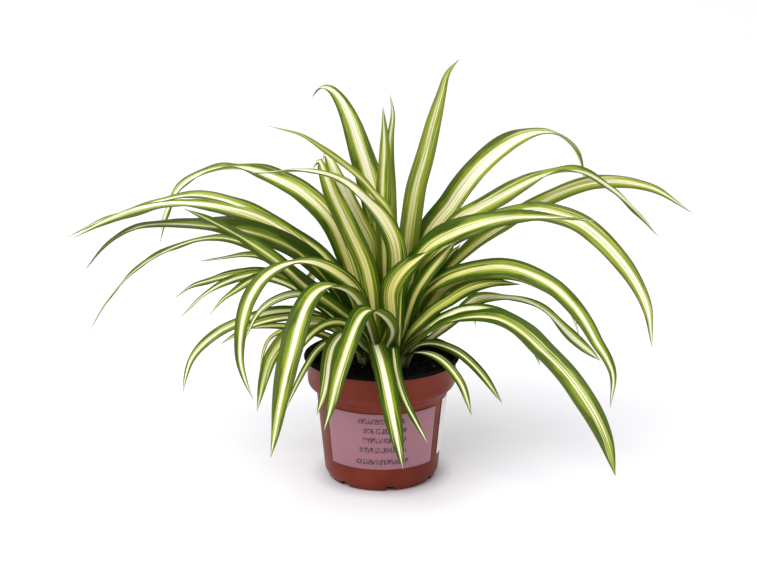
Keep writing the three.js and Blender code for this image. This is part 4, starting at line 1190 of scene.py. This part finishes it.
class PLANT_OT_stage(bpy.types.Operator):
    """Camera, floor, lamps and white surroundings"""

    bl_idname = "plant.stage"
    bl_label = "Stage"

    def execute(self, context):
        look = context.scene.plant_stage
        eye = bpy.data.cameras.new("camera")
        eye.lens = LENS
        eye.sensor_width = SENSOR
        eye.clip_end = CAMERA_FAR
        camera = bpy.data.objects.new("camera", eye)
        camera.location = EYE
        camera.rotation_euler = (math.radians(90 - CAMERA_PITCH), 0, 0)
        context.scene.collection.objects.link(camera)
        context.scene.camera = camera

        floor = self.floor()
        floor.data.materials.append(floor_material(look))

        for name, size, place, colour in LAMPS:
            lamp = bpy.data.lights.new(name, "AREA")
            lamp.energy = getattr(look, name)
            lamp.size = size
            lamp.color = colour
            thing = bpy.data.objects.new(name, lamp)
            thing.location = place
            aim = Vector(LAMP_AIM) - Vector(place)
            thing.rotation_euler = aim.to_track_quat("-Z", "Y").to_euler()
            context.scene.collection.objects.link(thing)

        world = bpy.data.worlds.new("surroundings")
        world.use_nodes = True
        sky = world.node_tree.nodes["Background"]
        sky.inputs["Color"].default_value = (1.0, 1.0, 1.0, 1)
        sky.inputs["Strength"].default_value = look.sky
        context.scene.world = world
        context.scene.view_settings.view_transform = "Standard"
        return {"FINISHED"}

    def floor(self):
        """A floor that curves up into a wall."""
        outline = [(FLOOR_FRONT, 0), (FLOOR_BEND, 0)]
        for k in range(1, FLOOR_STEPS + 1):
            turn = math.radians(90 * k / FLOOR_STEPS)
            outline.append((FLOOR_BEND + FLOOR_ROUND * math.sin(turn), FLOOR_ROUND * (1 - math.cos(turn))))
        outline.append((FLOOR_BEND + FLOOR_ROUND, FLOOR_TOP))
        points = [(x, y, z) for y, z in outline for x in (-FLOOR_HALF, FLOOR_HALF)]
        faces = [(2 * k, 2 * k + 1, 2 * k + 3, 2 * k + 2) for k in range(len(outline) - 1)]
        return make_object("floor", points, faces)


class PLANT_OT_pot(bpy.types.Operator):
    """Turned pot with its lip, collar and drain notches"""

    bl_idname = "plant.pot"
    bl_label = "Pot"

    def execute(self, context):
        look = context.scene.plant_pot
        points, faces, band = turned(POT_OUTSIDE + POT_LIP[1:] + POT_INSIDE[1:], POT_SEGMENTS)
        pot = make_object("nursery_pot", points, faces)
        pot.data.materials.append(pot_material("terracotta_plastic", tuple(look.outside), *OUTSIDE_SKIN))
        pot.data.materials.append(pot_material("black_plastic", tuple(look.inside), *INSIDE_SKIN))
        outside = len(POT_OUTSIDE) - 1
        pot.data.polygons.foreach_set("material_index", [int(step >= outside) for step in band])
        for i in range(NOTCHES):
            cut(pot, self.notch(NOTCH_FIRST + i * 360 / NOTCHES))
        pot.data.polygons.foreach_set("use_smooth", [True] * len(pot.data.polygons))
        context.view_layer.objects.active = pot
        pot.select_set(True)
        bpy.ops.object.shade_smooth_by_angle(angle=math.radians(POT_SMOOTH_UNDER))
        pot.select_set(False)
        seated(pot, "pot")
        return {"FINISHED"}

    def notch(self, degrees):
        """The tool for one notch: a tapered bar that points out from the axis."""
        low, high = NOTCH_HALF, NOTCH_HALF * NOTCH_TAPER
        outline = [(-low, NOTCH_UNDER), (low, NOTCH_UNDER), (high, NOTCH_TALL), (-high, NOTCH_TALL)]
        turn = math.radians(degrees)
        points = []
        for reach in (NOTCH_INNER, NOTCH_OUTER):
            for wide, z in outline:
                x = wide * math.cos(turn) + reach * math.sin(turn)
                y = wide * math.sin(turn) - reach * math.cos(turn)
                points.append((x, y, z))
        faces = [(3, 2, 1, 0), (4, 5, 6, 7), (1, 5, 4, 0), (2, 6, 5, 1), (3, 7, 6, 2), (0, 4, 7, 3)]
        return make_object("notch", points, faces)


class PLANT_OT_labels(bpy.types.Operator):
    """Front label and side label, bare but for plain ink marks"""

    bl_idname = "plant.labels"
    bl_label = "Labels"

    def execute(self, context):
        look = context.scene.plant_pot
        front = self.sheet("front_sticker", FRONT_LABEL)
        front.data.materials.append(label_material("mauve_paper", tuple(look.mauve), True))
        seated(front, "front_label")
        side = self.sheet("side_sticker", SIDE_LABEL)
        side.data.materials.append(label_material("white_paper", tuple(look.white), False))
        seated(side, "side_label")
        return {"FINISHED"}

    def sheet(self, name, size):
        """A curved sheet round the wall, thinner at its rim; the front is at angle 0."""
        steps = (size["to"] - size["from"]) // LABEL_STEP
        rows = [size["low"], size["low"] + LABEL_RIM, size["high"] - LABEL_RIM, size["high"]]
        points, places = [], []
        for i in range(steps + 1):
            angle = math.radians(size["from"] + (size["to"] - size["from"]) * i / steps)
            for inner in (False, True):
                for z in rows:
                    rim = z in (rows[0], rows[-1]) or i in (0, steps)
                    thick = 0 if inner else LABEL_THICK - (LABEL_RIM_THINNER if rim else 0)
                    radius = wall_radius(z) + (LABEL_GAP + thick)
                    points.append((radius * math.sin(angle), -radius * math.cos(angle), z))
                    places.append((radius * angle, z, 0))
        tall = len(rows)
        faces = []
        for i in range(steps):
            o, n = i * 2 * tall, (i + 1) * 2 * tall
            for k in range(tall - 1):
                faces.append((o + k, n + k, n + k + 1, o + k + 1))
                faces.append((o + tall + k, o + tall + k + 1, n + tall + k + 1, n + tall + k))
            faces.append((o, o + tall, n + tall, n))
            faces.append((o + tall - 1, n + tall - 1, n + 2 * tall - 1, o + 2 * tall - 1))
        for o, flip in ((0, False), (steps * 2 * tall, True)):
            for k in range(tall - 1):
                end = (o + k, o + k + 1, o + tall + k + 1, o + tall + k)
                faces.append(tuple(reversed(end)) if flip else end)
        thing = make_object(name, points, faces)
        set_attribute(thing, "label_place", "FLOAT_VECTOR", places)
        return thing


class PLANT_OT_soil(bpy.types.Operator):
    """Peat with loose crumbs and a few white grains"""

    bl_idname = "plant.soil"
    bl_label = "Soil"

    def execute(self, context):
        look = context.scene.plant_soil
        points, faces = self.bed()
        draw = random.Random(CRUMB_SEED)
        for _ in range(look.crumbs):
            self.crumb(draw, points, faces, draw.uniform(*CRUMB_SIZES))
        dark = len(faces)
        for _ in range(look.grains):
            self.crumb(draw, points, faces, draw.uniform(*GRAIN_SIZES))
        soil = make_object("peat_bed", points, faces)
        soil.data.materials.append(peat_material())
        soil.data.materials.append(grain_material())
        soil.data.polygons.foreach_set("material_index", [int(i >= dark) for i in range(len(faces))])
        seated(soil, "soil")
        return {"FINISHED"}

    def height(self, x, y):
        """The height of the top: a rise towards the wall, and lumps."""
        radius = math.hypot(x, y)
        rise = SOIL_RISE * max(0.0, (radius - SOIL_MIDDLE) / (SOIL_RADIUS - SOIL_MIDDLE))
        lumps = sum(
            tall * noise.noise(Vector((x / wide, y / wide, part))) for tall, wide, part in SOIL_LUMPS)
        return SOIL_TOP - SOIL_SINK + rise + lumps

    def bed(self):
        """The rough top and a plain underside, as one closed body."""
        points = [(0, 0, self.height(0, 0))]
        for i in range(1, SOIL_RINGS + 1):
            radius = SOIL_RADIUS * i / SOIL_RINGS
            for k in range(SOIL_SPOKES):
                angle = 2 * math.pi * k / SOIL_SPOKES
                x, y = radius * math.cos(angle), radius * math.sin(angle)
                points.append((x, y, self.height(x, y)))
        low = len(points)
        points += [(x, y, SOIL_SKIRT_Z) for x, y, _ in points[low - SOIL_SPOKES:]]
        under = len(points)
        points.append((0, 0, SOIL_SKIRT_Z))
        faces = []
        for k in range(SOIL_SPOKES):
            m = (k + 1) % SOIL_SPOKES
            faces.append((0, 1 + k, 1 + m))
            for i in range(SOIL_RINGS):
                a = 1 + i * SOIL_SPOKES
                b = a + SOIL_SPOKES
                faces.append((a + k, b + k, b + m, a + m))
            faces.append((under, low + m, low + k))
        return points, faces

    def crumb(self, draw, points, faces, size):
        """A small irregular lump: two rings of corners pulled about, a top and a foot."""
        radius = (SOIL_RADIUS - CRUMB_EDGE) * math.sqrt(draw.random())
        angle = draw.uniform(0, 2 * math.pi)
        x, y = radius * math.cos(angle), radius * math.sin(angle)
        z = self.height(x, y) + size * CRUMB_LIFT
        top = len(points)
        spin = draw.uniform(0, math.pi)
        points.append((x, y, z + size * draw.uniform(*CRUMB_TOP)))
        for level, twist in CRUMB_RINGS:
            for k in range(CRUMB_SIDES):
                turn = spin + 2 * math.pi * (k + twist) / CRUMB_SIDES
                out = size * draw.uniform(*CRUMB_OUT)
                points.append((x + out * math.cos(turn), y + out * math.sin(turn), z + size * level))
        foot = len(points)
        points.append((x, y, z - size * CRUMB_FOOT))
        for k in range(CRUMB_SIDES):
            m = (k + 1) % CRUMB_SIDES
            upper, lower = top + 1 + k, foot - CRUMB_SIDES + k
            upper_next, lower_next = top + 1 + m, foot - CRUMB_SIDES + m
            faces.append((top, upper, upper_next))
            faces.append((upper, lower, upper_next))
            faces.append((lower, lower_next, upper_next))
            faces.append((foot, lower_next, lower))


class PLANT_OT_sheaths(bpy.types.Operator):
    """Pale sheaths round the foot of each tuft"""

    bl_idname = "plant.sheaths"
    bl_label = "Sheaths"

    def execute(self, context):
        look = context.scene.plant_sheath
        material = sheath_material()
        draw = random.Random(SHEATH_SEED)
        for crown, at in CROWNS.items():
            points, faces, smooth, places = [], [], [], []
            for i in range(look.count):
                made = self.sheath(draw, at, i, look.count)
                start = sum(len(p) for p in points)
                points.append(made[0])
                faces += [tuple(start + k for k in corners) for corners in made[1]]
                smooth += made[2]
                places.append(made[3])
            thing = make_object(f"sheaths_{crown}", np.vstack(points), faces, smooth)
            set_attribute(thing, "blade_place", "FLOAT_VECTOR", np.vstack(places))
            thing.data.materials.append(material)
            seated(thing, f"crown_{crown}")
        return {"FINISHED"}

    def sheath(self, draw, at, i, count):
        """One sheath; the first stands outermost and leans most, the last is the innermost."""
        def staged(sizes):
            return sizes[0] + sizes[1] * i / count

        turn = math.radians(SHEATH_TURN * i + draw.uniform(-SHEATH_TURN_SPREAD, SHEATH_TURN_SPREAD))
        tall = staged(SHEATH_TALL) + draw.uniform(-SHEATH_TALL_SPREAD, SHEATH_TALL_SPREAD)
        way = np.array([math.cos(turn), math.sin(turn), 0])
        foot = np.array([*at, SOIL_TOP - SHEATH_DEPTH]) + way * staged(SHEATH_OUT)
        tip = foot + way * tall * staged(SHEATH_LEAN) + np.array([0, 0, tall + SHEATH_DEPTH])
        middle = (foot + tip) / 2 - way * SHEATH_BELLY
        line, _ = resampled(smooth_curve([foot, middle, tip]), SHEATH_STEPS)
        side = np.array([math.sin(turn), -math.cos(turn), 0])
        s = np.linspace(0, 1, len(line))
        widths = staged(SHEATH_WIDTH) * (1 - s ** SHEATH_POINT_POWER) + SHEATH_TIP
        folds = np.radians(SHEATH_FOLD[0] + SHEATH_FOLD[1] * s)
        return sweep(line, side, True, widths, folds, np.zeros(len(line)), SHEATH_THICK, SHEATH_WAVE,
                     SHEATH_FIRST_SEED + i, SHEATH_COLUMNS)


class PLANT_OT_blades(bpy.types.Operator):
    """All the long striped leaves"""

    bl_idname = "plant.blades"
    bl_label = "Leaves"

    def execute(self, context):
        material = leaf_material()
        seed = 0.0
        for table, place in ((BLADES, sight), (YOUNG_BLADES, sight), (REAR_BLADES, list)):
            for name, (crown, width, widest, rolls, route) in table.items():
                seed += SEED_STEP
                thing = blade(name, crown, width, widest, rolls, route, place, seed)
                thing.data.materials.append(material)
                seated(thing, f"crown_{crown}" if name in YOUNG_BLADES else name)
        return {"FINISHED"}


class PLANT_PT_panel(bpy.types.Panel):
    """Lists the plant's pieces and what can be changed on them"""

    bl_idname = "PLANT_PT_panel"
    bl_label = "Potted spider plant"
    bl_space_type = "VIEW_3D"
    bl_region_type = "UI"
    bl_category = "Plant"

    def draw(self, context):
        for step in STEPS:
            self.layout.operator(step.bl_idname)
        for name, group in LOOKS.items():
            box = self.layout.box()
            box.label(text=group.__doc__)
            look = getattr(context.scene, name)
            for field in group.__annotations__:
                box.prop(look, field)


LOOKS = {
    "plant_stage": StageLook,
    "plant_pot": PotLook,
    "plant_soil": SoilLook,
    "plant_sheath": SheathLook,
    "plant_leaf": LeafLook,
}
STEPS = (PLANT_OT_stage, PLANT_OT_pot, PLANT_OT_labels, PLANT_OT_soil, PLANT_OT_sheaths, PLANT_OT_blades)


def register():
    for kind in (*LOOKS.values(), *STEPS, PLANT_PT_panel):
        bpy.utils.register_class(kind)
    for name, group in LOOKS.items():
        setattr(bpy.types.Scene, name, PointerProperty(type=group))


def unregister():
    for name in LOOKS:
        delattr(bpy.types.Scene, name)
    for kind in reversed((*LOOKS.values(), *STEPS, PLANT_PT_panel)):
        bpy.utils.unregister_class(kind)


def main():
    register()
    bpy.ops.plant.stage()
    bpy.ops.plant.pot()
    bpy.ops.plant.labels()
    bpy.ops.plant.soil()
    bpy.ops.plant.sheaths()
    bpy.ops.plant.blades()


if __name__ == "__main__":
    main()
